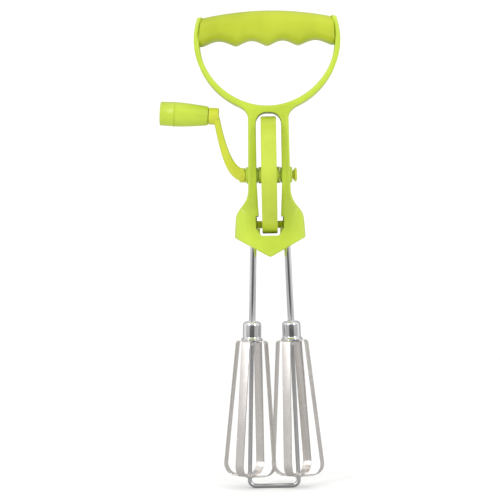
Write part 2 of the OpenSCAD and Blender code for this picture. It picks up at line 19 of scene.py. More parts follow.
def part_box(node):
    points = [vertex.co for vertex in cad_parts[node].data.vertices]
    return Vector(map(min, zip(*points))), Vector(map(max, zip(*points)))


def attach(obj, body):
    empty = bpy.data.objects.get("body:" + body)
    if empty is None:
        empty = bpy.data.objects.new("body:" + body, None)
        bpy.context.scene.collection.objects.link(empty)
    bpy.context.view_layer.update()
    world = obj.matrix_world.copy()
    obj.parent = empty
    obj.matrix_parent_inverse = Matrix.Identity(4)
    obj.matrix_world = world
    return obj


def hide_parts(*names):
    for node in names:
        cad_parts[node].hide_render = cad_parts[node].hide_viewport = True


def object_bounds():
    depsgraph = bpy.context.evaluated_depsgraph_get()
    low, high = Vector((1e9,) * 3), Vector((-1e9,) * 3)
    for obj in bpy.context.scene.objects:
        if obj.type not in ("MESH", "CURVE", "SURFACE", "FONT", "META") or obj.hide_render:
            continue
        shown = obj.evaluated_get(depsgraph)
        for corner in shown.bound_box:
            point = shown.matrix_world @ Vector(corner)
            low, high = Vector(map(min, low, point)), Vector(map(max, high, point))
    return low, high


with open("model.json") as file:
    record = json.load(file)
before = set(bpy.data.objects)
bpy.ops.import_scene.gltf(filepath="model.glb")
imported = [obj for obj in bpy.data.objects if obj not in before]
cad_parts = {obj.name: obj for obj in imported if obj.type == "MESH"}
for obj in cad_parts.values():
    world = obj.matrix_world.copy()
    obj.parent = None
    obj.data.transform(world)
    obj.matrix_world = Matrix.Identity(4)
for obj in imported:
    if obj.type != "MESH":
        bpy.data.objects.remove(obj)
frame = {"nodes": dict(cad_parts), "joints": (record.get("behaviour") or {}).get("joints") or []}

log = logging.getLogger("egg_beater")
CAD_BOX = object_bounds()
MM = 0.001
TINY = 1e-4

Point = tuple[float, float]
Corner = tuple[float, float, float]
Colour = tuple[float, float, float]


class Side(Enum):
    """The two beaters, told apart by the sign of X."""

    LEFT = -1
    RIGHT = 1

    @property
    def word(self) -> str:
        """The word that starts this side's piece and node names."""
        return self.name.lower()


class Body(Enum):
    """The bodies that pieces ride on."""

    FRAME = "frame"
    CRANK = "crank"
    KNOB = "knob"
    LEFT_BEATER = "left_beater"
    RIGHT_BEATER = "right_beater"


# ---------------------------------------------------------------- shader graphs


class Shade:
    """A node's output socket that can be used in a Python expression."""

    def __init__(self, graph: "Graph", socket: bpy.types.NodeSocket) -> None:
        """Wraps a socket.

        Args:
            graph: The graph that the socket belongs to.
            socket: The output socket.
        """
        self.graph = graph
        self.socket = socket

    def _math(self, operation: str, *terms: Union["Shade", float]) -> "Shade":
        """Adds a Math node.

        Args:
            operation: The Math node's operation.
            *terms: Its inputs, in order.

        Returns:
            The node's output.
        """
        inputs = {index: term for index, term in enumerate(terms)}
        return self.graph.add("ShaderNodeMath", {"operation": operation}, inputs)

    def __add__(self, other: Union["Shade", float]) -> "Shade":
        """self + other."""
        return self._math("ADD", self, other)

    def __radd__(self, other: float) -> "Shade":
        """other + self."""
        return self._math("ADD", other, self)

    def __sub__(self, other: Union["Shade", float]) -> "Shade":
        """self - other."""
        return self._math("SUBTRACT", self, other)

    def __rsub__(self, other: float) -> "Shade":
        """other - self."""
        return self._math("SUBTRACT", other, self)

    def __mul__(self, other: Union["Shade", float]) -> "Shade":
        """self * other."""
        return self._math("MULTIPLY", self, other)

    def __rmul__(self, other: float) -> "Shade":
        """other * self."""
        return self._math("MULTIPLY", other, self)

    def smoothly(self, low: float, high: float) -> "Shade":
        """Turns a value into a soft mask.

        Args:
            low: The value at which the mask is 0.
            high: The value at which the mask is 1.

        Returns:
            The mask.
        """
        return self.graph.add(
            "ShaderNodeMapRange",
            {"interpolation_type": "SMOOTHSTEP"},
            {"Value": self, "From Min": low, "From Max": high},
        )


Value = Union[Shade, float, Sequence[float]]


class Graph:
    """The node tree of one material or world."""

    MIX_FACTOR = 0
    MIX_COLOURS = (6, 7)
    MIX_RESULT = 2

    def __init__(self, owner: Union[bpy.types.Material, bpy.types.World]) -> None:
        """Empties the owner's node tree.

        Args:
            owner: The material or world that the graph belongs to.
        """
        owner.use_nodes = True
        self.tree = owner.node_tree
        self.tree.nodes.clear()
        is_world = isinstance(owner, bpy.types.World)
        self.output_kind = "ShaderNodeOutputWorld" if is_world else "ShaderNodeOutputMaterial"

    def make(
        self, kind: str, settings: dict[str, object], inputs: dict[Union[str, int], Value]
    ) -> bpy.types.Node:
        """Adds a node.

        Args:
            kind: The node's type.
            settings: Attributes that are set before the inputs.
            inputs: A value or a link for each named or numbered input.

        Returns:
            The node.
        """
        node = self.tree.nodes.new(kind)
        for name, value in settings.items():
            setattr(node, name, value)
        for name, value in inputs.items():
            socket = node.inputs[name]
            if isinstance(value, Shade):
                self.tree.links.new(value.socket, socket)
            else:
                socket.default_value = value
        return node

    def add(
        self,
        kind: str,
        settings: Optional[dict[str, object]] = None,
        inputs: Optional[dict[Union[str, int], Value]] = None,
        output: Union[str, int] = 0,
    ) -> Shade:
        """Adds a node and gives one of its outputs.

        Args:
            kind: The node's type.
            settings: Attributes that are set before the inputs.
            inputs: A value or a link for each input.
            output: The output that is wanted.

        Returns:
            That output.
        """
        return Shade(self, self.make(kind, settings or {}, inputs or {}).outputs[output])

    def surface(self, kind: str, inputs: dict[Union[str, int], Value]) -> None:
        """Adds the shader that the graph ends in, and joins it to the output.

        Args:
            kind: The shader's type.
            inputs: A value or a link for each input.
        """
        self.make(self.output_kind, {}, {"Surface": self.add(kind, {}, inputs)})

    def blend(self, factor: Shade, first: Value, second: Value) -> Shade:
        """Mixes two colours.

        Args:
            factor: 0 gives the first, 1 the second.
            first: A colour.
            second: A colour.

        Returns:
            The mixed colour.
        """
        low, high = self.MIX_COLOURS
        inputs = {self.MIX_FACTOR: factor, low: first, high: second}
        return self.add("ShaderNodeMix", {"data_type": "RGBA"}, inputs, self.MIX_RESULT)

    def grain(
        self,
        stretch: Sequence[float],
        detail: float = 3.0,
        roughness: float = 0.5,
        shift: float = 0.0,
    ) -> Shade:
        """Noise on the piece's own coordinates.

        Args:
            stretch: Cycles per metre along X, Y and Z.
            detail: Octaves of finer noise.
            roughness: How strong the finer octaves are.
            shift: Moves the pattern, so that two layers differ.

        Returns:
            The noise, from 0 to 1.
        """
        place = self.add("ShaderNodeTexCoord", output="Object")
        spread = self.add(
            "ShaderNodeMapping", {}, {"Vector": place, "Location": (shift,) * 3, "Scale": stretch}
        )
        return self.add(
            "ShaderNodeTexNoise",
            {},
            {"Vector": spread, "Scale": 1.0, "Detail": detail, "Roughness": roughness},
        )

    def relief(self, strength: float, distance: float, height: Shade) -> Shade:
        """Turns a height into a bumped normal.

        Args:
            strength: How much of the bump shows.
            distance: The relief's depth, in metres.
            height: The height, from 0 to 1.

        Returns:
            The normal.
        """
        inputs = {"Strength": strength, "Distance": distance, "Height": height}
        return self.add("ShaderNodeBump", {}, inputs, "Normal")


# ---------------------------------------------------------------- finishes


def opaque(colour: Iterable[float]) -> tuple[float, ...]:
    """Gives a colour its full alpha."""
    return (*colour, 1.0)


@dataclass(frozen=True)
class Plastic:
    """Moulded plastic: a satin gloss, faint flow marks, a fine skin and a few rubbed patches."""

    name: str
    colour: Colour
    gloss: float = 0.34
    mottle: float = 0.05
    skin: float = 0.00002

    def material(self) -> bpy.types.Material:
        """Builds the material.

        Returns:
            The material.
        """
        material = bpy.data.materials.new(self.name)
        graph = Graph(material)
        flow = graph.grain((38.0, 60.0, 24.0), detail=4.0)
        skin = graph.grain((1500.0,) * 3, detail=2.0, shift=3.0)
        rubbed = graph.grain((90.0,) * 3, detail=6.0, roughness=0.65, shift=7.0)
        rubbed = rubbed.smoothly(0.55, 0.75)
        scratch = graph.grain((160.0, 160.0, 2600.0), detail=2.0, shift=11.0).smoothly(0.66, 0.72)
        deep = opaque(c * (1 - 2.2 * self.mottle) for c in self.colour)
        pale = opaque(min(1.0, c * (1 + self.mottle) + 0.008) for c in self.colour)
        worn = opaque(min(1.0, c * 0.97 + 0.03) for c in self.colour)
        colour = graph.blend(flow.smoothly(0.3, 0.7), deep, pale)
        colour = graph.blend(rubbed * 0.35, colour, worn)
        graph.surface(
            "ShaderNodeBsdfPrincipled",
            {
                "Base Color": colour,
                "Roughness": self.gloss - 0.05 + 0.08 * skin + 0.12 * rubbed + 0.08 * scratch,
                "Normal": graph.relief(0.35, self.skin, skin + flow * 0.6 - scratch * 0.5),
                "IOR": 1.49,
                "Coat Weight": 0.1 + 0.08 * flow,
                "Coat Roughness": 0.2,
            },
        )
        return material


@dataclass(frozen=True)
class Steel:
    """Bright steel with a drawn, rolled or spun grain, a faint haze and fine scuffs."""

    name: str
    colour: Colour
    gloss: float = 0.16
    along: tuple[float, float, float] = (1400.0, 1400.0, 14.0)
    haze: float = 0.1
    cut: float = 0.000006

    def material(self) -> bpy.types.Material:
        """Builds the material.

        Returns:
            The material.
        """
        material = bpy.data.materials.new(self.name)
        graph = Graph(material)
        lines = graph.grain(self.along, detail=5.0, roughness=0.6)
        cloud = graph.grain((70.0, 70.0, 45.0), detail=5.0, roughness=0.6, shift=5.0)
        scuff = graph.grain((500.0, 500.0, 260.0), detail=3.0, shift=9.0).smoothly(0.64, 0.74)
        dull = opaque(c * 0.82 for c in self.colour)
        tone = cloud.smoothly(0.3, 0.7) * 0.5 + lines * 0.5
        veil = self.haze * (0.6 * lines + 0.4 * cloud)
        graph.surface(
            "ShaderNodeBsdfPrincipled",
            {
                "Base Color": graph.blend(tone, dull, opaque(self.colour)),
                "Metallic": 1.0,
                "Roughness": self.gloss - self.haze * 0.5 + veil + 0.05 * scuff,
                "Normal": graph.relief(0.3, self.cut, lines - scuff * 0.1),
            },
        )
        return material


@dataclass(frozen=True)
class Paper:
    """The matt pale paper that the floor is made of."""

    name: str = "pale_paper"
    shaded: Colour = (0.925, 0.925, 0.92)
    lit: Colour = (0.955, 0.955, 0.95)

    def material(self) -> bpy.types.Material:
        """Builds the material. Steel mirrors the paper at half its brightness.

        Returns:
            The material.
        """
        material = bpy.data.materials.new(self.name)
        graph = Graph(material)
        fibre = graph.grain((30.0,) * 3, detail=5.0)
        tone = graph.blend(fibre, opaque(self.shaded), opaque(self.lit))
        mirrored = graph.add("ShaderNodeLightPath", output="Is Glossy Ray")
        tone = graph.blend(mirrored * 0.5, tone, opaque((0.0, 0.0, 0.0)))
        graph.surface("ShaderNodeBsdfPrincipled", {"Base Color": tone, "Roughness": 0.9})
        return material


class Finishes:
    """Every finish on the object, each made once."""

    BOW = Plastic("bow_lime", (0.490, 0.625, 0.036))
    GRIP = Plastic("grip_lime", (0.430, 0.505, 0.010), gloss=0.42)
    CRANK = Plastic("crank_lime", (0.570, 0.625, 0.028))
    WHEEL = Plastic("wheel_lime", (0.470, 0.575, 0.035), gloss=0.42)
    KNOB = Plastic("knob_lime", (0.440, 0.560, 0.028))
    # Painted light: the pinions' lime is much paler than the other plastic, to make up for the
    # shade in their pockets.
    PINION = Plastic("pinion_lime_painted_light", (0.780, 0.880, 0.030), gloss=0.5)
    WIRE = Steel("bright_wire", (0.64, 0.64, 0.65), gloss=0.2)
    TUBE = Steel("drawn_tube", (0.86, 0.86, 0.87), gloss=0.12, haze=0.05)
    PLATED = Steel(
        "plated_cup", (0.83, 0.83, 0.84), gloss=0.14, along=(60.0, 60.0, 2200.0), haze=0.08
    )
    STRIP = Steel("rolled_strip", (0.88, 0.835, 0.80), gloss=0.25, haze=0.12)

    def __init__(self) -> None:
        """Starts with no material made."""
        self._made: dict[str, bpy.types.Material] = {}

    def get(self, finish: Union[Plastic, Steel, Paper]) -> bpy.types.Material:
        """Gives a finish's material, and makes it the first time.

        Args:
            finish: The finish.

        Returns:
            The material.
        """
        if finish.name not in self._made:
            self._made[finish.name] = finish.material()
        return self._made[finish.name]


# ---------------------------------------------------------------- outlines


def corner_arc(before: Point, at: Point, after: Point, radius: float, steps: int) -> list[Point]:
    """Rounds one corner of an outline.

    Args:
        before: The point before the corner.
        at: The corner.
        after: The point after it.
        radius: The radius of the rounding.
        steps: The number of chords in the arc.

    Returns:
        The arc's points.
    """
    here = Vector(at)
    u = (Vector(before) - here).normalized()
    v = (Vector(after) - here).normalized()
    half = acos(max(-1.0, min(1.0, u.dot(v)))) / 2
    centre = here + (u + v).normalized() * radius / sin(half)
    a = here + u * radius / tan(half) - centre
    b = here + v * radius / tan(half) - centre
    start = atan2(a.y, a.x)
    turn = atan2(a.x * b.y - a.y * b.x, a.dot(b))
    angles = [start + turn * i / steps for i in range(steps + 1)]
    return [(centre.x + radius * cos(t), centre.y + radius * sin(t)) for t in angles]


def rounded(corners: Sequence[Corner], closed: bool = False, steps: int = 7) -> list[Point]:
    """Turns corners with radii into an outline.

    Args:
        corners: Each corner as x, y and radius. A radius of 0 keeps it sharp.
        closed: True if the last corner joins the first.
        steps: The number of chords in each arc.

    Returns:
        The outline's points.
    """
    count = len(corners)
    points: list[Point] = []
    for i, (x, y, radius) in enumerate(corners):
        if radius == 0 or (not closed and i in (0, count - 1)):
            points.append((x, y))
            continue
        before = corners[(i - 1) % count][:2]
        after = corners[(i + 1) % count][:2]
        points += corner_arc(before, (x, y), after, radius, steps)
    return points


def circle(radius: float, count: int) -> list[Point]:
    """Points round a circle, from its +X side."""
    angles = [2 * pi * i / count for i in range(count)]
    return [(radius * cos(t), radius * sin(t)) for t in angles]


def drum(radius: float, low: float, high: float) -> list[Point]:
    """The profile of a plain cylinder."""
    return [(0, low), (radius, low), (radius, high), (0, high)]


def superellipse(a: float, b: float, power: float, last: float, steps: int) -> list[Point]:
    """Points of a quarter superellipse, from its side towards its end.

    Args:
        a: The half width.
        b: The half height.
        power: The exponent. 2 gives an ellipse.
        last: The parameter at the last point. pi / 2 gives the whole quarter.
        steps: The number of chords.

    Returns:
        The points.
    """
    angles = [last * i / steps for i in range(steps + 1)]
    return [(a * abs(cos(t)) ** (2 / power), b * abs(sin(t)) ** (2 / power)) for t in angles]


def smooth_step(low: float, high: float, value: float) -> float:
    """A soft step from 0 at low to 1 at high."""
    t = max(0.0, min(1.0, (value - low) / (high - low)))
    return t * t * (3 - 2 * t)


def station(at: Vector, along: Vector, half_x: float = 1.0, half_y: float = 1.0) -> Matrix:
    """The place of a section on a path in the XZ plane.

    Args:
        at: The path's point, as X and Z.
        along: The path's direction there.
        half_x: Scale of the section's X, which lies across the path.
        half_y: Scale of the section's Y, which stays the object's Y.

    Returns:
        The place.
    """
    across = Vector((-along.y, 0.0, along.x)) * half_x
    deep = Vector((0.0, half_y, 0.0))
    ahead = Vector((along.x, 0.0, along.y))
    place = Matrix((across, deep, ahead)).transposed().to_4x4()
    place.translation = (at.x, 0.0, at.y)
    return place


# ---------------------------------------------------------------- mesh tools

Element = Union[bmesh.types.BMVert, bmesh.types.BMEdge, bmesh.types.BMFace]


def unique(elements: Iterable[Element]) -> list[Element]:
    """Lists each element once, in an order that is the same on every run."""
    return list(dict.fromkeys(elements))


class Sculpt:
    """A bmesh under work, with the shaping operations that the pieces share."""

    SHARP = radians(33)

    def __init__(self) -> None:
        """Starts empty."""
        self.bm = bmesh.new()

    def lathe(
        self, profile: Sequence[Point], place: Matrix, steps: int = 64, closed: bool = False
    ) -> None:
        """Spins a profile of radius and height about its own Z.

        Args:
            profile: Points of radius and height.
            place: Where the lathe's Z axis goes.
            steps: The number of facets round the axis.
            closed: True for a ring, whose profile returns to its start.
        """
        verts = [self.bm.verts.new((r, 0.0, z)) for r, z in profile]
        edges = [self.bm.edges.new(pair) for pair in zip(verts, verts[1:])]
        if closed:
            edges.append(self.bm.edges.new((verts[-1], verts[0])))
        before = set(self.bm.verts) - set(verts)
        bmesh.ops.spin(
            self.bm, geom=verts + edges, cent=(0, 0, 0), axis=(0, 0, 1), angle=2 * pi,
            steps=steps, use_merge=True,
        )
        made = [v for v in self.bm.verts if v not in before]
        bmesh.ops.remove_doubles(self.bm, verts=made, dist=1e-5)
        made = [v for v in self.bm.verts if v not in before]
        bmesh.ops.transform(self.bm, matrix=place, verts=made)

    def sweep(self, section: Sequence[Point], stations: Sequence[Matrix]) -> None:
        """Extrudes a closed section from station to station, and caps both ends.

        Args:
            section: The section's points in the station's X and Y.
            stations: The section's place at each step.
        """
        ring = bmesh.ops.create_circle(self.bm, segments=len(section), radius=1.0)["verts"]
        for vert, (x, y) in zip(ring, section):
            vert.co = stations[0] @ Vector((x, y, 0.0))
        edges = unique(edge for vert in ring for edge in vert.link_edges)
        bmesh.ops.edgeloop_fill(self.bm, edges=edges)
        for last, here in zip(stations, stations[1:]):
            made = bmesh.ops.extrude_edge_only(self.bm, edges=edges)["geom"]
            edges = [
                item for item in made if isinstance(item, bmesh.types.BMEdge) and item.is_boundary
            ]
            fresh = unique(vert for edge in edges for vert in edge.verts)
            bmesh.ops.transform(self.bm, matrix=here @ last.inverted(), verts=fresh)
        bmesh.ops.edgeloop_fill(self.bm, edges=edges)

    def plate(self, outline: Sequence[Point], depth: float) -> None:
        """Makes an extruded plate from an outline of X and Z, from Y = 0 to Y = -depth.

        Args:
            outline: The outline's points.
            depth: How far the plate reaches towards -Y.
        """
        verts = [self.bm.verts.new((x, 0.0, z)) for x, z in outline]
        face = self.bm.faces.new(verts)
        made = bmesh.ops.extrude_face_region(self.bm, geom=[face], use_keep_orig=True)["geom"]
        moved = [item for item in made if isinstance(item, bmesh.types.BMVert)]
        bmesh.ops.translate(self.bm, vec=(0.0, -depth, 0.0), verts=moved)
        bmesh.ops.recalc_face_normals(self.bm, faces=self.bm.faces)

    def soften(
        self, chosen: Callable[[bmesh.types.BMEdge], bool], width: float, segments: int = 4
    ) -> None:
        """Bevels the chosen edges.

        Args:
            chosen: Says which edges are bevelled.
            width: The bevel's width.
            segments: The number of facets across it.
        """
        edges = [edge for edge in self.bm.edges if chosen(edge)]
        bmesh.ops.bevel(
            self.bm, geom=edges, offset=width, offset_type="OFFSET", segments=segments, profile=0.5,
            affect="EDGES", material=-1, clamp_overlap=False,
        )

    def slice(
        self,
        axis: str,
        levels: Iterable[float],
        keep: Optional[Callable[[Vector], bool]] = None,
    ) -> None:
        """Cuts edges across the mesh, so that it can bend there.

        Args:
            axis: The axis that the cuts are square to.
            levels: Where the cuts go.
            keep: If given, only faces whose middle it accepts are cut.
        """
        index = "XYZ".index(axis)
        normal = Vector([1.0 if i == index else 0.0 for i in range(3)])
        for level in levels:
            faces = [f for f in self.bm.faces if keep is None or keep(f.calc_center_median())]
            edges = unique(e for f in faces for e in f.edges)
            verts = unique(v for f in faces for v in f.verts)
            bmesh.ops.bisect_plane(
                self.bm, geom=[*faces, *edges, *verts], dist=1e-5, plane_co=normal * level,
                plane_no=normal,
            )

    def drop(self, chosen: Callable[[bmesh.types.BMFace], bool]) -> None:
        """Deletes the chosen faces.

        Args:
            chosen: Says which faces go.
        """
        faces = [face for face in self.bm.faces if chosen(face)]
        bmesh.ops.delete(self.bm, geom=faces, context="FACES")

    def mirror(self, axis: str) -> None:
        """Mirrors everything across the plane square to an axis, and joins it there.

        Args:
            axis: "X", "Y" or "Z".
        """
        bmesh.ops.mirror(
            self.bm, geom=self.everything(), matrix=Matrix.Identity(4), merge_dist=1e-4, axis=axis
        )

    def everything(self) -> list[Element]:
        """Every vertex, edge and face."""
        return [*self.bm.verts, *self.bm.edges, *self.bm.faces]

    def bend(self, rule: Callable[[Vector], Vector]) -> None:
        """Moves every vertex by a rule.

        Args:
            rule: Gives a vertex's new place from its old one.
        """
        for vert in self.bm.verts:
            vert.co = rule(vert.co)

    def mesh(self, name: str) -> bpy.types.Mesh:
        """Cleans the mesh, points it outwards and brings it to metres.

        Args:
            name: The mesh's name.

        Returns:
            The mesh.
        """
        bmesh.ops.remove_doubles(self.bm, verts=self.bm.verts, dist=1e-4)
        bmesh.ops.dissolve_degenerate(self.bm, dist=1e-5, edges=self.bm.edges)
        bmesh.ops.recalc_face_normals(self.bm, faces=self.bm.faces)
        bmesh.ops.scale(self.bm, vec=(MM, MM, MM), verts=self.bm.verts)
        self.mark_sharp()
        mesh = bpy.data.meshes.new(name)
        self.bm.to_mesh(mesh)
        self.bm.free()
        return mesh

    def mark_sharp(self) -> None:
        """Shades faces smooth, except across edges that turn more than SHARP."""
        for face in self.bm.faces:
            face.smooth = True
        for edge in self.bm.edges:
            edge.smooth = edge.is_manifold and edge.calc_face_angle(0.0) < self.SHARP


class Workshop:
    """Turns finished meshes into pieces that ride on the frame."""

    def __init__(self, finishes: Finishes) -> None:
        """Keeps the finishes.

        Args:
            finishes: Where materials come from.
        """
        self.finishes = finishes

    def piece(
        self,
        sculpt: Sculpt,
        name: str,
        body: Body,
        slot: str,
        finish: Union[Plastic, Steel],
        nodes: Sequence[str],
        cutters: Sequence[tuple[str, Sculpt]] = (),
    ) -> bpy.types.Object:
        """Makes a piece that stands for one or more nodes of the frame.

        Args:
            sculpt: The piece's shape.
            name: The piece's name.
            body: The body that it rides on.
            slot: The record's material slot; not used.
            finish: What it is made of.
            nodes: The nodes that it stands for.
            cutters: Shapes that are joined to it or cut from it, each with its operation.

        Returns:
            The piece.
        """
        piece = bpy.data.objects.new(name, sculpt.mesh(name))
        bpy.context.scene.collection.objects.link(piece)
        if cutters:
            self.carve(piece, cutters)
        piece.data.materials.clear()
        piece.data.materials.append(self.finishes.get(finish))
        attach(piece, body.value)
        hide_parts(*nodes)
        log.info("%s: %d faces, rides on %s", name, len(piece.data.polygons), body.value)
        return piece

    def carve(self, piece: bpy.types.Object, cutters: Sequence[tuple[str, Sculpt]]) -> None:
        """Joins shapes to a piece or cuts them from it, and applies the result to its mesh.

        Args:
            piece: The piece.
            cutters: Each shape with "UNION" or "DIFFERENCE".
        """
        tools = []
        for index, (operation, shape) in enumerate(cutters):
            tool = bpy.data.objects.new(f"tool_{index}", shape.mesh(f"tool_{index}"))
            bpy.context.scene.collection.objects.link(tool)
            modifier = piece.modifiers.new(f"carve_{index}", "BOOLEAN")
            modifier.operation = operation
            modifier.solver = "EXACT"
            modifier.object = tool
            tools.append(tool)
        bpy.context.view_layer.update()
        evaluated = piece.evaluated_get(bpy.context.evaluated_depsgraph_get())
        result = bpy.data.meshes.new_from_object(evaluated)
        piece.modifiers.clear()
        piece.data = result
        for tool in tools:
            bpy.data.objects.remove(tool)
        tidy = Sculpt()
        tidy.bm.from_mesh(result)
        bmesh.ops.remove_doubles(tidy.bm, verts=tidy.bm.verts, dist=2e-6)
        bmesh.ops.dissolve_degenerate(tidy.bm, dist=1e-6, edges=tidy.bm.edges)
        tidy.mark_sharp()
        tidy.bm.to_mesh(result)
        tidy.bm.free()

    def dress(self, node: str, finish: Union[Plastic, Steel]) -> None:
        """Gives a carried-over node its finish.

        Args:
            node: The node's name.
            finish: What it is made of.
        """
        carried = frame["nodes"][node]
        carried.data.materials.clear()
        carried.data.materials.append(self.finishes.get(finish))
        log.info("%s: carried over, with %s", node, finish.name)


# ---------------------------------------------------------------- places, read from the frame


@dataclass(frozen=True)
class Layout:
    """Where the axles and shafts lie, in millimetres."""

    axle_z: float
    shaft_x: float
    mesh_z: float
    splay: float
    knob_at: Vector
    knob_axis: Vector

    @classmethod
    def from_frame(cls) -> "Layout":
        """Reads the joints of the frame.

        Returns:
            The layout.
        """
        joints = {joint["name"]: joint for joint in frame["joints"]}
        shaft = joints["right_beater_spin"]
        knob = joints["knob_spin"]
        return cls(
            axle_z=joints["crank_turn"]["pos_m"][2] / MM,
            shaft_x=shaft["pos_m"][0] / MM,
            mesh_z=shaft["pos_m"][2] / MM,
            splay=asin(-shaft["axis"][0]),
            knob_at=Vector(knob["pos_m"]) / MM,
            knob_axis=Vector(knob["axis"]),
        )

    def shaft(self, side: Side) -> Matrix:
        """A beater's own frame: Z along its shaft, with 0 at the middle of its pinion."""
        place = Matrix.Translation((side.value * self.shaft_x, 0.0, self.mesh_z))
        return place @ Matrix.Rotation(-side.value * self.splay, 4, "Y")

    def knob(self) -> Matrix:
        """The knob's own frame: Z outwards along its pin, with 0 at the crank's face."""
        turn = Vector((0.0, 0.0, 1.0)).rotation_difference(self.knob_axis).to_matrix().to_4x4()
        return Matrix.Translation(self.knob_at) @ turn

    def axle(self) -> Matrix:
        """The axle's own frame: Z along +X, with 0 in the middle of the wheel."""
        return Matrix.Translation((0.0, 0.0, self.axle_z)) @ Matrix.Rotation(pi / 2, 4, "Y")


# ---------------------------------------------------------------- bow, legs and housing


@dataclass
class Bow:
    """The one moulding of bow, legs and gear housing."""

    layout: Layout
    half_w: float = field(default_factory=lambda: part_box("frame")[1].x / MM)
    strap: float = 3.2
    bow_z: float = -8.0
    power: float = 1.95
    opening_z: float = -47.5
    slot_top: float = -51.5
    slot_half: float = 7.7
    slot_round: float = 6.4
    window_half: float = 8.3
    pit_half: float = 6.1
    sill_depth: float = 3.0
    leg_t: float = 4.5
    boss_r: float = 5.0
    crown_fall: float = 4.8
    crown_top: float = field(default_factory=lambda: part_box("grip_front")[1].z / MM)
    web_round: float = 7.5
    waist_round: float = 16.0
    shoulder_round: float = 10.0
    cheek_depth: float = 9.5
    leg_depth: float = 7.5
    housing_depth: float = field(default_factory=lambda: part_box("frame")[1].y / MM)
    housing_half: float = 21.46
    vee_slope: float = radians(29.3)
    vee_round: float = 2.5
    flat_share: float = 0.45
    bulge: float = 2.4
    edge_depth: float = 2.0
    pocket_r: float = 7.48
    pinion_half: float = 2.1
    boss_out: float = 1.8
    inner_boss_r: float = 4.6
    inner_boss_face: float = 6.6
    shaft_bore: float = 2.05
    hub_bore: float = 3.58
    axle_bore: float = 2.48
    edge: float = 1.2
    slot_edge: float = 0.35
    inner_bow: float = 0.0095
    outer_bow: float = 0.0125

    @property
    def pocket_top(self) -> float:
        """Height of the pinion pocket's ceiling."""
        return self.layout.mesh_z + self.pinion_half + 2.7

    @property
    def floor_z(self) -> float:
        """Height of the pinion pocket's floor."""
        return self.layout.mesh_z - self.pinion_half - 0.35

    @property
    def slot_bottom(self) -> float:
        """Height of the wheel slot's lower end."""
        return self.layout.axle_z - 36.9

    @property
    def swell_top(self) -> float:
        """Height at which the legs begin to swell into the housing."""
        return self.pocket_top + 11

    @property
    def leg_out(self) -> float:
        """Distance from the centre plane to a leg's outer face."""
        return self.slot_half + self.leg_t

    def crown(self, x: float) -> float:
        """Height of the arc that the grip and the cheeks' tops follow."""
        radius = (self.half_w**2 + self.crown_fall**2) / (2 * self.crown_fall)
        return self.crown_top - radius + sqrt(radius * radius - x * x)

    def outline(self) -> list[Point]:
        """The right half of the front view, from the hand opening round to the slot.

        Returns:
            The outline's points.
        """
        bow_in = self.half_w - self.strap
        opening = superellipse(bow_in, self.bow_z - self.opening_z, self.power, pi / 2, 26)
        inner = [(x, self.bow_z - z) for x, z in reversed(opening)]
        inner_top = self.crown(bow_in)
        edge_top = self.crown(self.half_w)
        shares = [i / 5 for i in range(1, 6)]
        for z in (self.bow_z + (inner_top - self.bow_z) * share for share in shares):
            inner.append((bow_in - self.inner_bow * (z - self.bow_z) ** 2, z))
        cheek = []
        for z in (self.bow_z + (edge_top - self.bow_z) * share for share in reversed(shares)):
            cheek.append((self.half_w - self.outer_bow * (z - self.bow_z) ** 2, z))
        last = acos(((self.leg_out + 5) / self.half_w) ** (self.power / 2))
        outer = superellipse(self.half_w, self.bow_z - self.slot_top, self.power, last, 20)
        bottom = self.slot_bottom - 1
        tip = bottom - self.housing_half * tan(self.vee_slope)
        tip += self.vee_round / cos(self.vee_slope)
        point = [
            (self.vee_round * sin(turn), tip - self.vee_round * cos(turn))
            for turn in (self.vee_slope * share for share in (1.0, 0.75, 0.5, 0.25, 0.0))
        ]
        lower = rounded(
            [(x, self.bow_z - z, 0.0) for x, z in outer]
            + [
                (self.leg_out, self.slot_top + 0.3, self.web_round),
                (self.leg_out + 0.7, self.swell_top, self.waist_round),
                (self.housing_half - 1, self.pocket_top + 1.2, self.shoulder_round),
                (self.housing_half, bottom, self.edge),
                (*point[0], 0.0),
            ]
        )
        lower += point[1:]
        slot = rounded(
            [
                (0.0, self.slot_bottom, 0.0),
                (self.pit_half, self.slot_bottom, 1.8),
                (self.pit_half, self.floor_z, 0.0),
                (self.window_half, self.floor_z, 0.0),
                (self.window_half, self.pocket_top, 0.0),
                (self.slot_half - 0.9, self.pocket_top, 0.0),
                (self.slot_half, self.layout.axle_z - self.boss_r, 0.0),
                (self.slot_half, self.slot_top, self.slot_round),
                (0.0, self.slot_top, 0.0),
            ]
        )
        return inner + cheek + lower + slot

    def depth_at(self, x: float, z: float) -> float:
        """Half the moulding's depth, front to back.

        Args:
            x: Distance from the centre plane.
            z: Height.

        Returns:
            The half depth.
        """
        taper = smooth_step(self.bow_z + 4, self.opening_z, z)
        waist = self.cheek_depth + (self.leg_depth - self.cheek_depth) * taper
        swell = smooth_step(self.swell_top, self.pocket_top, z)
        depth = waist + (self.housing_depth - waist) * swell
        flat = self.flat_share * self.housing_half
        over = max(0.0, abs(x) - flat) / (self.housing_half - flat)
        fall = max(0.0, 1 - over**self.bulge) ** 0.5
        limit = self.edge_depth + (self.housing_depth - self.edge_depth) * fall
        return min(depth, depth + (limit - depth) * swell)

    def shape(self) -> Sculpt:
        """Builds the moulding without its bosses and bores.

        Returns:
            The shape.
        """
        sculpt = Sculpt()
        depth = self.housing_depth
        sculpt.plate(self.outline(), depth)
        window = self.window_half + 0.05
        fold = 1.2

        def on_rim(edge: bmesh.types.BMEdge) -> bool:
            """True for an edge round the plate's front face, off the centre plane."""
            a, b = (vert.co for vert in edge.verts)
            front = max(a.y, b.y) < -depth + TINY
            return front and max(a.x, b.x) > TINY and len(edge.link_faces) == 2

        def in_slot(edge: bmesh.types.BMEdge) -> bool:
            """True for an edge of the wheel slot or its window."""
            low, high = self.slot_bottom - 0.1, self.slot_top + 0.1
            return all(v.co.x < window and low < v.co.z < high for v in edge.verts)

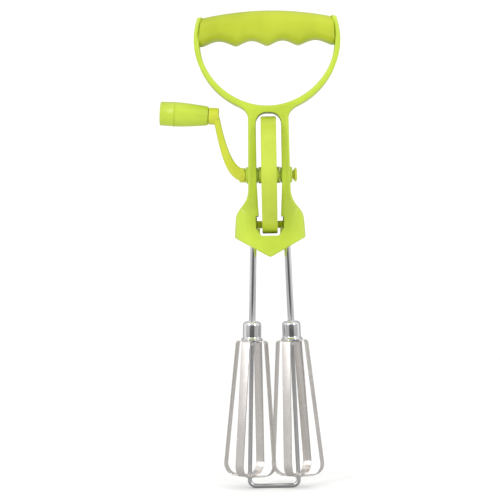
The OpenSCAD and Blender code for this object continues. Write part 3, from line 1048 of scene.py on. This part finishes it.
        sculpt.drop(lambda face: all(abs(v.co.x) < TINY for v in face.verts))
        sculpt.drop(lambda face: all(abs(v.co.y) < TINY for v in face.verts))
        sculpt.soften(lambda edge: on_rim(edge) and not in_slot(edge), self.edge)
        sculpt.soften(
            lambda edge: on_rim(edge) and in_slot(edge) and edge.calc_face_angle(0.0) > fold,
            self.slot_edge, 2,
        )
        swell = self.swell_top + 1
        sculpt.slice("Z", [self.crown_top - self.crown_fall - 2.5 * i for i in range(1, 19)])
        sculpt.slice("Z", [swell - i for i in range(14)])
        sculpt.slice("X", [9.2 + 0.7 * i for i in range(18)], keep=lambda at: at.z < swell)

        def deepen(at: Vector) -> Vector:
            """Sets a vertex of the front half back by the moulding's depth there."""
            if at.y > -TINY:
                return at
            return Vector((at.x, min(-0.01, at.y + depth - self.depth_at(at.x, at.z)), at.z))

        sculpt.bend(deepen)
        sculpt.mirror("X")
        sculpt.mirror("Y")
        return sculpt

    def bosses(self) -> Sculpt:
        """The round bosses that carry the axle.

        Returns:
            The shape.
        """
        sculpt = Sculpt()
        left, right = -self.leg_out, self.leg_out
        end = right + self.boss_out
        near, far = self.inner_boss_face, self.slot_half + 0.5
        profiles = [
            [(0, -end, 0), (self.boss_r, -end, 0.3), (self.boss_r, left + 1, 0), (0, left + 1, 0)],
            [(0, -far, 0), (self.inner_boss_r, -far, 0), (self.inner_boss_r, -near, 0.25),
             (0, -near, 0)],
            [(0, near, 0), (self.inner_boss_r, near, 0.25), (self.inner_boss_r, far, 0),
             (0, far, 0)],
            [(0, right - 1, 0), (self.boss_r, right - 1, 0), (self.boss_r, end - 1, 0.5),
             (4.3, end, 0.3), (0, end, 0)],
        ]
        for profile in profiles:
            sculpt.lathe(rounded(profile), self.layout.axle())
        return sculpt

    def pockets(self) -> Sculpt:
        """The pinions' round pockets.

        Returns:
            The shape.
        """
        sculpt = Sculpt()
        low = self.floor_z - self.layout.mesh_z
        high = self.pocket_top - self.layout.mesh_z
        for side in Side:
            sculpt.lathe(drum(self.pocket_r, low, high), self.layout.shaft(side))
        return sculpt

    def sills(self) -> Sculpt:
        """The cuts that leave sloped sills at the window's lower corners, front and rear.

        Returns:
            The shape.
        """
        sculpt = Sculpt()
        low = self.slot_bottom + 1
        high = self.floor_z + 1
        outline = [(0, high), (0, low), (self.pit_half, low), (self.window_half, self.floor_z),
                   (self.window_half, high)]
        sculpt.plate(outline, self.sill_depth + 1)
        sculpt.drop(lambda face: all(abs(v.co.x) < TINY for v in face.verts))
        sculpt.bend(lambda at: at + Vector((0, self.sill_depth - self.housing_depth, 0)))
        sculpt.mirror("X")
        sculpt.mirror("Y")
        return sculpt

    def bores(self) -> Sculpt:
        """The holes that the shafts and the axle turn in.

        Returns:
            The shape.
        """
        sculpt = Sculpt()
        for side in Side:
            sculpt.lathe(drum(self.shaft_bore, -24, -1), self.layout.shaft(side), 40)
        sculpt.lathe(drum(self.hub_bore, -18, -5), self.layout.axle(), 48)
        sculpt.lathe(drum(self.axle_bore, 5, 18), self.layout.axle(), 48)
        return sculpt

    def build(self, shop: Workshop) -> None:
        """Builds and dresses the moulding.

        Args:
            shop: The workshop.
        """
        cutters = [
            ("UNION", self.bosses()),
            ("DIFFERENCE", self.pockets()),
            ("DIFFERENCE", self.sills()),
            ("DIFFERENCE", self.bores()),
        ]
        shop.piece(
            self.shape(), "bow_and_housing", Body.FRAME, "frame_plastic", Finishes.BOW, ["frame"],
            cutters,
        )


# ---------------------------------------------------------------- grip


@dataclass
class Grip:
    """The two half shells of the hand grip, with finger grooves underneath."""

    bow: Bow
    bottom: float = 11.0
    depth: float = field(default_factory=lambda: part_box("grip_rear")[1].y / MM)
    pitch: float = 18.8
    last_ridge: float = 39.8
    groove: float = 3.3
    power: float = 2.6
    seam: float = 0.12
    seam_gap: float = 0.03
    end_edge: float = 0.3
    end_gap: float = 0.08
    around: int = 56
    steps: int = 150

    @property
    def half_w(self) -> float:
        """Half the grip's length where the bow is widest."""
        return self.bow.half_w - self.bow.strap

    def belly(self, x: float) -> float:
        """Height of the grip's finger grooves, whose ridges are rounded."""
        out = abs(x)
        count = out / self.pitch
        if count >= 1:
            count = 1 + (out - self.pitch) / (self.last_ridge - self.pitch)
        return -self.bottom + self.groove * (sin(pi * count) ** 2 + 0.02) ** 0.65

    def end(self, z: float) -> float:
        """Half the grip's length, which follows the bow's cheeks."""
        return self.half_w - self.bow.inner_bow * (z - self.bow.bow_z) ** 2 - self.end_gap

    def section_at(self, x: float) -> list[Vector]:
        """The grip's section at a place along it.

        Args:
            x: The place.

        Returns:
            The points, as Y and Z.
        """
        top = self.bow.crown(x)
        low = self.belly(x)
        middle, tall = (top + low) / 2, (top - low) / 2
        points = []
        for i in range(self.around):
            t = 2 * pi * (i + 0.5) / self.around
            y = copysign(self.depth * abs(cos(t)) ** (2 / self.power), cos(t))
            z = middle + copysign(tall * abs(sin(t)) ** (2 / self.power), sin(t))
            points.append(Vector((y, z)))
        return points

    def shape(self, side: int) -> Sculpt:
        """Builds one half.

        Args:
            side: -1 for the front half and 1 for the rear.

        Returns:
            The shape.
        """
        sculpt = Sculpt()
        stations = [Matrix.Translation((0, 0, i)) for i in range(self.steps + 1)]
        sculpt.sweep(circle(0.1, self.around), stations)
        places = [self.half_w * (2 * i / self.steps - 1) for i in range(self.steps + 1)]
        sections = [self.section_at(x) for x in places]

        def settle(at: Vector) -> Vector:
            """Puts a vertex of the plain tube on the grip's skin."""
            step = round(at.z)
            turn = round(atan2(at.y, at.x) / (2 * pi) * self.around) % self.around
            y, z = sections[step][turn]
            return Vector((places[step] * self.end(z) / self.half_w, y, z))

        def at_end(edge: bmesh.types.BMEdge) -> bool:
            """True for an edge round one of the grip's two ends."""
            return edge.calc_face_angle(0.0) > 1.0 and abs(edge.verts[0].co.x) > self.half_w - 6

        sculpt.bend(settle)
        sculpt.soften(at_end, self.end_edge, 2)
        bmesh.ops.bisect_plane(
            sculpt.bm, geom=sculpt.everything(), plane_co=(0, side * self.seam_gap, 0),
            plane_no=(0, -side, 0), clear_outer=True,
        )
        rim = [edge for edge in sculpt.bm.edges if edge.is_boundary]
        flat = set(bmesh.ops.edgeloop_fill(sculpt.bm, edges=rim)["faces"])
        sculpt.soften(lambda edge: any(face in flat for face in edge.link_faces), self.seam, 2)
        return sculpt

    def build(self, shop: Workshop) -> None:
        """Builds and dresses both halves.

        Args:
            shop: The workshop.
        """
        for side, word in ((-1, "front"), (1, "rear")):
            shop.piece(
                self.shape(side), f"{word}_grip_shell", Body.FRAME, "grip_plastic", Finishes.GRIP,
                [f"grip_{word}"],
            )


# ---------------------------------------------------------------- crank and knob


@dataclass
class Crank:
    """The crank's arm with its hub, its outer boss and the axle."""

    layout: Layout
    hub_face: float = 14.2
    hub_r: float = 4.3
    boss_r: float = 5.1
    boss_t: float = 6.2
    arm_depth: float = 8.4
    arm_rise: float = 0.4
    arm_hub: float = 8.4
    arm_top: float = 3.9
    arm_taper: float = 1.6
    arm_power: float = 4.2
    arm_steps: int = 28
    crank_r: float = 36.0
    offset: float = 30.0
    journal_r: float = 3.5
    axle_r: float = 2.4
    cap_neck: float = 3.1
    cap_r: float = 4.2

    def line(self) -> list[Point]:
        """The arm's centre line, from the hub to the outer boss.

        Returns:
            Points of X and Z.
        """
        z = self.layout.axle_z
        top = (-self.offset - 1.4, z + self.crank_r - 1)
        start = z + self.arm_rise
        knots = [
            (-self.hub_face - 1, start),
            (-self.hub_face - 9, start),
            (top[0] + 4, z + 0.38 * self.crank_r),
            top,
        ]
        points = []
        for i in range(self.arm_steps + 1):
            t = i / self.arm_steps
            weights = ((1 - t) ** 3, 3 * t * (1 - t) ** 2, 3 * t * t * (1 - t), t**3)
            points.append(tuple(sum(w * c for w, c in zip(weights, line)) for line in zip(*knots)))
        return points

    def arm(self) -> Sculpt:
        """Builds the arm.

        Returns:
            The shape.
        """
        sculpt = Sculpt()
        line = [Vector(p) for p in self.line()]
        count = len(line)
        stations = []
        for i, at in enumerate(line):
            t = i / (count - 1)
            along = (line[min(i + 1, count - 1)] - line[max(i - 1, 0)]).normalized()
            thick = self.arm_top + (self.arm_hub - self.arm_top) * (1 - t) ** self.arm_taper
            stations.append(station(at, along, thick / 2, self.arm_depth / 2))
        quarter = superellipse(1.0, 1.0, self.arm_power, pi / 2, 7)
        upper = quarter + [(-x, y) for x, y in reversed(quarter[:-1])]
        sculpt.sweep(upper + [(x, -y) for x, y in reversed(upper[1:-1])], stations)
        return sculpt

    def turned(self) -> Sculpt:
        """The hub, the axle and the outer boss.

        Returns:
            The shape.
        """
        sculpt = Sculpt()
        face = -self.hub_face
        end = -6.4
        hub = [
            (0, face - 4, 0), (self.hub_r, face - 4, 0.8), (self.hub_r, face, 0.4),
            (self.journal_r, face, 0), (self.journal_r, end, 0), (0, end, 0),
        ]
        boss = [
            (0, 0, 0), (self.boss_r, 0, 0.9), (self.boss_r, self.boss_t, 0.5), (0, self.boss_t, 0),
        ]
        sculpt.lathe(rounded(hub), self.layout.axle())
        sculpt.lathe(drum(self.axle_r, 6, 14.5), self.layout.axle(), 40)
        sculpt.lathe(rounded(boss), self.layout.knob())
        return sculpt

    def cap(self) -> Sculpt:
        """The round cap pressed on the axle's far end.

        Returns:
            The shape.
        """
        low, high = (corner.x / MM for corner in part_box("axle_cap"))
        neck = low + 0.8
        sculpt = Sculpt()
        profile = [
            (0, low, 0), (self.cap_neck, low, 0.2), (self.cap_neck, neck, 0.2),
            (self.cap_r, neck, 0.3), (self.cap_r, high - 0.5, 0.5), (3.0, high, 1.0), (0, high, 0),
        ]
        sculpt.lathe(rounded(profile), self.layout.axle())
        return sculpt

    def build(self, shop: Workshop) -> None:
        """Builds and dresses the crank and the cap on its far end.

        Args:
            shop: The workshop.
        """
        slot = "crank_plastic"
        turned = [("UNION", self.turned())]
        shop.piece(
            self.arm(), "crank_arm", Body.CRANK, slot, Finishes.CRANK, ["crank"], turned
        )
        shop.piece(self.cap(), "axle_end_cap", Body.CRANK, slot, Finishes.CRANK, ["axle_cap"])


@dataclass
class Knob:
    """The turning knob: a barrel and the cap that closes it."""

    layout: Layout
    radius: float = 7.4
    length: float = 29.4
    start: float = 6.4
    cap_share: float = 0.3
    taper: float = 1.6
    bore: float = 2.08
    head_r: float = 4.2
    head_depth: float = 2.4
    ring: float = 0.12
    facets: int = 72

    @property
    def cap_len(self) -> float:
        """Length of the cap."""
        return self.cap_share * self.length

    @property
    def sleeve_len(self) -> float:
        """Length of the barrel."""
        return self.length - self.cap_len - 0.2

    @property
    def place(self) -> Matrix:
        """The knob's frame, with 0 at the barrel's inner end."""
        return self.layout.knob() @ Matrix.Translation((0, 0, self.start))

    def sleeve(self) -> Sculpt:
        """Builds the barrel, which swells from its inner end.

        Returns:
            The shape.
        """
        r = self.radius
        end = self.sleeve_len
        floor = end - self.head_depth
        swell = [(i / 12, r - self.taper * (1 - i / 12) ** 1.5) for i in range(1, 13)]
        profile = [
            (self.bore, 0.0, 0), (r - 1.75, 0.0, 0.5),
            *((wide, 0.6 + (end - 1.6) * t, 0.0) for t, wide in swell),
            (r, end - 0.9, 0), (r - 0.02, end - 0.15, 0), (r - 0.15, end, 0),
            (self.head_r, end, 0), (self.head_r, floor, 0), (self.bore, floor, 0),
        ]
        sculpt = Sculpt()
        sculpt.lathe(rounded(profile), self.place, self.facets, closed=True)
        return sculpt

    def cap(self) -> Sculpt:
        """Builds the cap, which has a raised ring where it meets the barrel.

        Returns:
            The shape.
        """
        r = self.radius
        ring = r + self.ring
        profile = [
            (0, 0.04, 0), (ring, 0.04, 0.1), (ring, 0.8, 0.3), (r - 0.06, 1.1, 0),
            (r - 0.2, self.cap_len, 0.8), (0, self.cap_len, 0),
        ]
        place = self.place @ Matrix.Translation((0, 0, self.sleeve_len))
        sculpt = Sculpt()
        sculpt.lathe(rounded(profile), place, self.facets)
        return sculpt

    def build(self, shop: Workshop) -> None:
        """Builds and dresses the knob.

        Args:
            shop: The workshop.
        """
        slot = "knob_plastic"
        shop.piece(self.sleeve(), "knob_barrel", Body.KNOB, slot, Finishes.KNOB, ["knob_sleeve"])
        shop.piece(self.cap(), "knob_end_cap", Body.KNOB, slot, Finishes.KNOB, ["knob_cap"])


# ---------------------------------------------------------------- beaters


@dataclass
class Beater:
    """One beater: tube, cup, washer, two crossed strip loops and the eyelet at their foot."""

    layout: Layout
    side: Side
    wire_r: float = 1.3
    tube_r: float = 1.975
    collar_drop: float = 58.8
    collar_h: float = 11.6
    collar_r: float = 5.6
    flange_r: float = 6.6
    sheet: float = 0.8
    washer_r: float = 5.2
    eyelet_rim: float = 2.6
    eyelet_wall: float = 0.5
    blade_len: float = 82.6
    blade_w: float = 5.4
    blade_t: float = 0.6
    blade_edge: float = 0.22
    top_r: float = 9.2
    foot_r: float = 16.5
    rest_turn: float = radians(-22.5)

    @property
    def body(self) -> Body:
        """The body that this beater's pieces ride on."""
        return Body.LEFT_BEATER if self.side is Side.LEFT else Body.RIGHT_BEATER

    @property
    def tab_z(self) -> float:
        """Distance down the shaft to the blades' tabs."""
        return self.collar_drop + self.collar_h

    def tube(self) -> Sculpt:
        """Builds the turning tube.

        Returns:
            The shape.
        """
        low, high = -self.tab_z - 3, 4.4
        bore = self.wire_r + 0.075
        profile = rounded(
            [(bore, low, 0), (self.tube_r, low, 0.15), (self.tube_r, high, 0.15), (bore, high, 0)],
            closed=True,
        )
        sculpt = Sculpt()
        sculpt.lathe(profile, self.layout.shaft(self.side), 48, closed=True)
        return sculpt

    def cup(self) -> Sculpt:
        """Builds the drawn cup with its rolled flange.

        Returns:
            The shape.
        """
        h = self.collar_h
        r = self.collar_r
        inside = r - self.sheet
        profile = rounded(
            [(self.tube_r, 0, 0), (r, 0, 2.3), (r, 1.8 - h, 1.0), (self.flange_r, 0.9 - h, 0.35),
             (self.flange_r, -h, 0.3), (inside, -h, 0.2), (inside, -self.sheet, 1.4),
             (self.tube_r, -self.sheet, 0)],
            closed=True,
        )
        place = self.layout.shaft(self.side) @ Matrix.Translation((0, 0, -self.collar_drop))
        sculpt = Sculpt()
        sculpt.lathe(profile, place, 72, closed=True)
        return sculpt

    def washer(self) -> Sculpt:
        """Builds the washer that clamps the blades' tabs.

        Returns:
            The shape.
        """
        high = -self.tab_z - self.blade_t
        low = high - self.sheet
        bore, wide = self.tube_r, self.washer_r
        profile = rounded(
            [(bore, low, 0), (wide, low, 0.25), (wide, high, 0.25), (bore, high, 0)], closed=True
        )
        sculpt = Sculpt()
        sculpt.lathe(profile, self.layout.shaft(self.side), 56, closed=True)
        return sculpt

    def loop(self, turn: float, drop: int) -> Sculpt:
        """Builds one strip loop.

        Args:
            turn: The loop's angle about the shaft, from the beater's rest angle.
            drop: 1 for the loop that passes underneath at the foot, and 0 for the other.

        Returns:
            The shape.
        """
        foot = -self.tab_z - self.blade_len + (1.5 - drop) * self.blade_t
        top = -self.tab_z - self.blade_t / 2
        half = rounded(
            [(3.0, top, 0), (self.top_r, top, 1.6), (self.foot_r, foot + 0.9, 7),
             (self.blade_w / 2 + 1, foot, 4), (0, foot, 0)],
            steps=8,
        )
        path = [Vector(p) for p in half + [(-x, z) for x, z in reversed(half[:-1])]]
        count = len(path)
        stations = []
        for i, at in enumerate(path):
            before = (at - path[i - 1]).normalized() if i else (path[1] - at).normalized()
            after = (path[i + 1] - at).normalized() if i < count - 1 else before
            along = (before + after).normalized()
            stretch = 1 / max(0.5, along.dot(before))
            stations.append(station(at, along, self.blade_t / 2 * stretch, self.blade_w / 2))
        corners = [(1, 1, 0.5), (-1, 1, 0.5), (-1, -1, 0.5), (1, -1, 0.5)]
        section = rounded(corners, closed=True, steps=3)
        flat = [(x, copysign(1 - (1 - abs(y)) * self.blade_edge, y)) for x, y in section]
        place = self.layout.shaft(self.side) @ Matrix.Rotation(self.rest_turn + turn, 4, "Z")
        sculpt = Sculpt()
        sculpt.sweep(flat, [place @ here for here in stations])
        return sculpt

    def hole(self) -> Sculpt:
        """The hole for the eyelet in a loop's foot.

        Returns:
            The shape.
        """
        z = -self.tab_z - self.blade_len
        sculpt = Sculpt()
        sculpt.lathe(drum(self.wire_r + 0.55, z - 2, z + 4), self.layout.shaft(self.side), 32)
        return sculpt

    def eyelet(self) -> Sculpt:
        """Builds the eyelet that holds the loops together at the foot.

        Returns:
            The shape.
        """
        bore = self.wire_r + 0.1
        rim, flange = self.eyelet_rim, self.eyelet_wall
        wall = bore + flange
        stack = 2 * self.blade_t
        top = stack + flange
        profile = rounded(
            [(bore, -flange, 0.15), (rim, -flange, 0.2), (rim, 0, 0.15), (wall, 0, 0),
             (wall, stack, 0), (rim, stack, 0.15), (rim, top, 0.2), (bore, top, 0.15)],
            closed=True, steps=4,
        )
        foot = Matrix.Translation((0, 0, -self.tab_z - self.blade_len))
        place = self.layout.shaft(self.side) @ foot
        sculpt = Sculpt()
        sculpt.lathe(profile, place, 48, closed=True)
        return sculpt

    def build(self, shop: Workshop) -> None:
        """Builds and dresses the beater.

        Args:
            shop: The workshop.
        """
        word = self.side.word
        tube, plated, strip = (
            ("tube_steel", Finishes.TUBE),
            ("plated_steel", Finishes.PLATED),
            ("blade_steel", Finishes.STRIP),
        )
        rows = [
            (self.tube(), "shaft_tube", tube, "tube"),
            (self.cup(), "blade_cup", plated, "collar"),
            (self.washer(), "tab_washer", plated, "clamp_washer"),
            (self.loop(0.0, 1), "outer_loop", strip, "outer_blades"),
            (self.loop(pi / 2, 0), "inner_loop", strip, "inner_blades"),
            (self.eyelet(), "eyelet", plated, "foot_eyelet"),
        ]
        for shape, name, (slot, finish), node in rows:
            cutters = [("DIFFERENCE", self.hole())] if finish is Finishes.STRIP else []
            shop.piece(
                shape, f"{word}_{name}", self.body, slot, finish, [f"{word}_{node}"], cutters
            )


@dataclass
class Wire:
    """The bent wire that both beaters turn on."""

    layout: Layout
    radius: float = 1.3
    bend: float = 3.6
    foot: float = 158.6
    top: float = 13.8
    facets: int = 32

    def shape(self) -> Sculpt:
        """Builds the wire, from one socket in the housing round to the other.

        Returns:
            The shape.
        """
        splay = self.layout.splay
        z = self.layout.mesh_z
        down = self.foot * cos(splay)
        corner = (self.layout.shaft_x + self.foot * sin(splay), z - down)
        head = (self.layout.shaft_x - self.top * sin(splay), z + self.top * cos(splay))
        half = rounded([(0, corner[1], 0), (*corner, self.bend), (*head, 0)], steps=10)
        path = [Vector((-x, y)) for x, y in reversed(half[1:])] + [Vector(p) for p in half]
        stations = []
        for i, at in enumerate(path):
            before = path[max(i - 1, 0)]
            after = path[min(i + 1, len(path) - 1)]
            stations.append(station(at, (after - before).normalized()))
        sculpt = Sculpt()
        sculpt.sweep(circle(self.radius, self.facets), stations)
        return sculpt

    def build(self, shop: Workshop) -> None:
        """Builds and dresses the wire.

        Args:
            shop: The workshop.
        """
        shop.piece(
            self.shape(), "axle_wire", Body.FRAME, "bright_wire", Finishes.WIRE, ["wire_frame"]
        )


# ---------------------------------------------------------------- studio


@dataclass
class Studio:
    """The floor, the light and the camera."""

    aim_x: float = -12.4
    stand_x: float = 2.0
    aim_z: float = -134.5
    distance: float = 1050.0
    view_w: float = 303.4
    sensor_w: float = 36.0
    roll: float = radians(0.95)
    floor_z: float = field(default_factory=lambda: CAD_BOX[0][2] / MM)
    floor_half: float = 3000.0
    floor_front: float = -1000.0
    floor_back: float = 1800.0
    floor_round: float = 700.0
    backdrop_top: float = 3000.0
    strip_light: Point = (0.22, 1.1)

    def sweep_floor(self, shop: Workshop) -> None:
        """Makes the floor, which curves up into a backdrop.

        Args:
            shop: The workshop.
        """
        sculpt = Sculpt()
        corners = [
            (self.floor_front, self.floor_z, 0),
            (self.floor_back, self.floor_z, self.floor_round),
            (self.floor_back, self.backdrop_top, 0),
        ]
        line = rounded(corners, steps=16)
        verts = [sculpt.bm.verts.new((-self.floor_half, y, z)) for y, z in line]
        edges = [sculpt.bm.edges.new(pair) for pair in zip(verts, verts[1:])]
        made = bmesh.ops.extrude_edge_only(sculpt.bm, edges=edges)["geom"]
        fresh = [item for item in made if isinstance(item, bmesh.types.BMVert)]
        bmesh.ops.translate(sculpt.bm, vec=(2 * self.floor_half, 0.0, 0.0), verts=fresh)
        floor = bpy.data.objects.new("paper_floor", sculpt.mesh("paper_floor"))
        bpy.context.scene.collection.objects.link(floor)
        floor.data.materials.append(shop.finishes.get(Paper()))

    def lamp(self, name: str, at: Sequence[float], size: Point, power: float) -> None:
        """Hangs a soft lamp that faces the object.

        Args:
            name: The lamp's name.
            at: Its place, in metres.
            size: Its width and height, in metres.
            power: Its power in watts.
        """
        data = bpy.data.lights.new(name, "AREA")
        data.shape = "RECTANGLE"
        data.size, data.size_y = size
        data.energy = power
        lamp = bpy.data.objects.new(name, data)
        bpy.context.scene.collection.objects.link(lamp)
        lamp.location = at
        aim = Vector((self.aim_x, 0, self.aim_z)) * MM - Vector(at)
        lamp.rotation_euler = aim.to_track_quat("-Z", "Y").to_euler()

    def sky(self) -> None:
        """Surrounds the object with even white light. Gloss mirrors dark screens in it."""
        world = bpy.data.worlds.new("soft_studio")
        bpy.context.scene.world = world
        graph = Graph(world)
        way = graph.add("ShaderNodeTexCoord", output="Generated")
        parts = graph.make("ShaderNodeSeparateXYZ", {}, {0: way})
        x, y, z = (Shade(graph, parts.outputs[axis]) for axis in "XYZ")
        side = graph.add("ShaderNodeMath", {"operation": "ABSOLUTE"}, {0: x})
        front = y.smoothly(-0.05, -0.3)
        low = z.smoothly(0.6, 0.3)
        wings = front * 0.5 * z.smoothly(0.25, 0.0)
        screen = front * 0.42 * side.smoothly(0.56, 0.44) * low
        rear = (1.0 - front) * 0.75 * side.smoothly(0.36, 0.24) * low
        glossy = graph.add("ShaderNodeLightPath", output="Is Glossy Ray")
        level = 1.0 - glossy * (wings + screen + rear)
        white = opaque((1.0, 1.0, 1.0))
        graph.surface("ShaderNodeBackground", {"Color": white, "Strength": level})

    def camera(self) -> None:
        """Sets up the camera, level with the object's middle and turned a little to the left."""
        data = bpy.data.cameras.new("camera")
        data.sensor_width = self.sensor_w
        data.lens = self.sensor_w * self.distance / self.view_w
        data.clip_end = 20.0
        camera = bpy.data.objects.new("camera", data)
        bpy.context.scene.collection.objects.link(camera)
        place = Matrix.Translation(Vector((self.stand_x, -self.distance, self.aim_z)) * MM)
        turn = Matrix.Rotation(atan2(self.stand_x - self.aim_x, self.distance), 4, "Z")
        level = Matrix.Rotation(pi / 2, 4, "X") @ Matrix.Rotation(-self.roll, 4, "Z")
        camera.matrix_world = place @ turn @ level
        bpy.context.scene.camera = camera

    def build(self, shop: Workshop) -> None:
        """Sets up the studio.

        Args:
            shop: The workshop.
        """
        self.sweep_floor(shop)
        self.sky()
        self.lamp("left_strip_light", (-1.15, -1.5, 0.82), self.strip_light, 10.5)
        self.lamp("right_strip_light", (1.2, -1.5, 0.8), self.strip_light, 9.5)
        self.camera()
        bpy.context.scene.view_settings.view_transform = "Standard"


# ---------------------------------------------------------------- main


def main() -> None:
    """Builds every piece in order, then the studio."""
    logging.basicConfig(level=logging.INFO, format="%(name)s: %(message)s")
    shop = Workshop(Finishes())
    layout = Layout.from_frame()
    bow = Bow(layout)
    bow.build(shop)
    Grip(bow).build(shop)
    Wire(layout).build(shop)
    Crank(layout).build(shop)
    Knob(layout).build(shop)
    for side in Side:
        Beater(layout, side).build(shop)
        # The pinions get the paler lime, which paints in light where their pockets shade them.
        shop.dress(f"{side.word}_pinion", Finishes.PINION)
    shop.dress("drive_wheel", Finishes.WHEEL)
    shop.dress("knob_pin", Finishes.WIRE)
    Studio().build(shop)


if __name__ == "__main__":
    main()
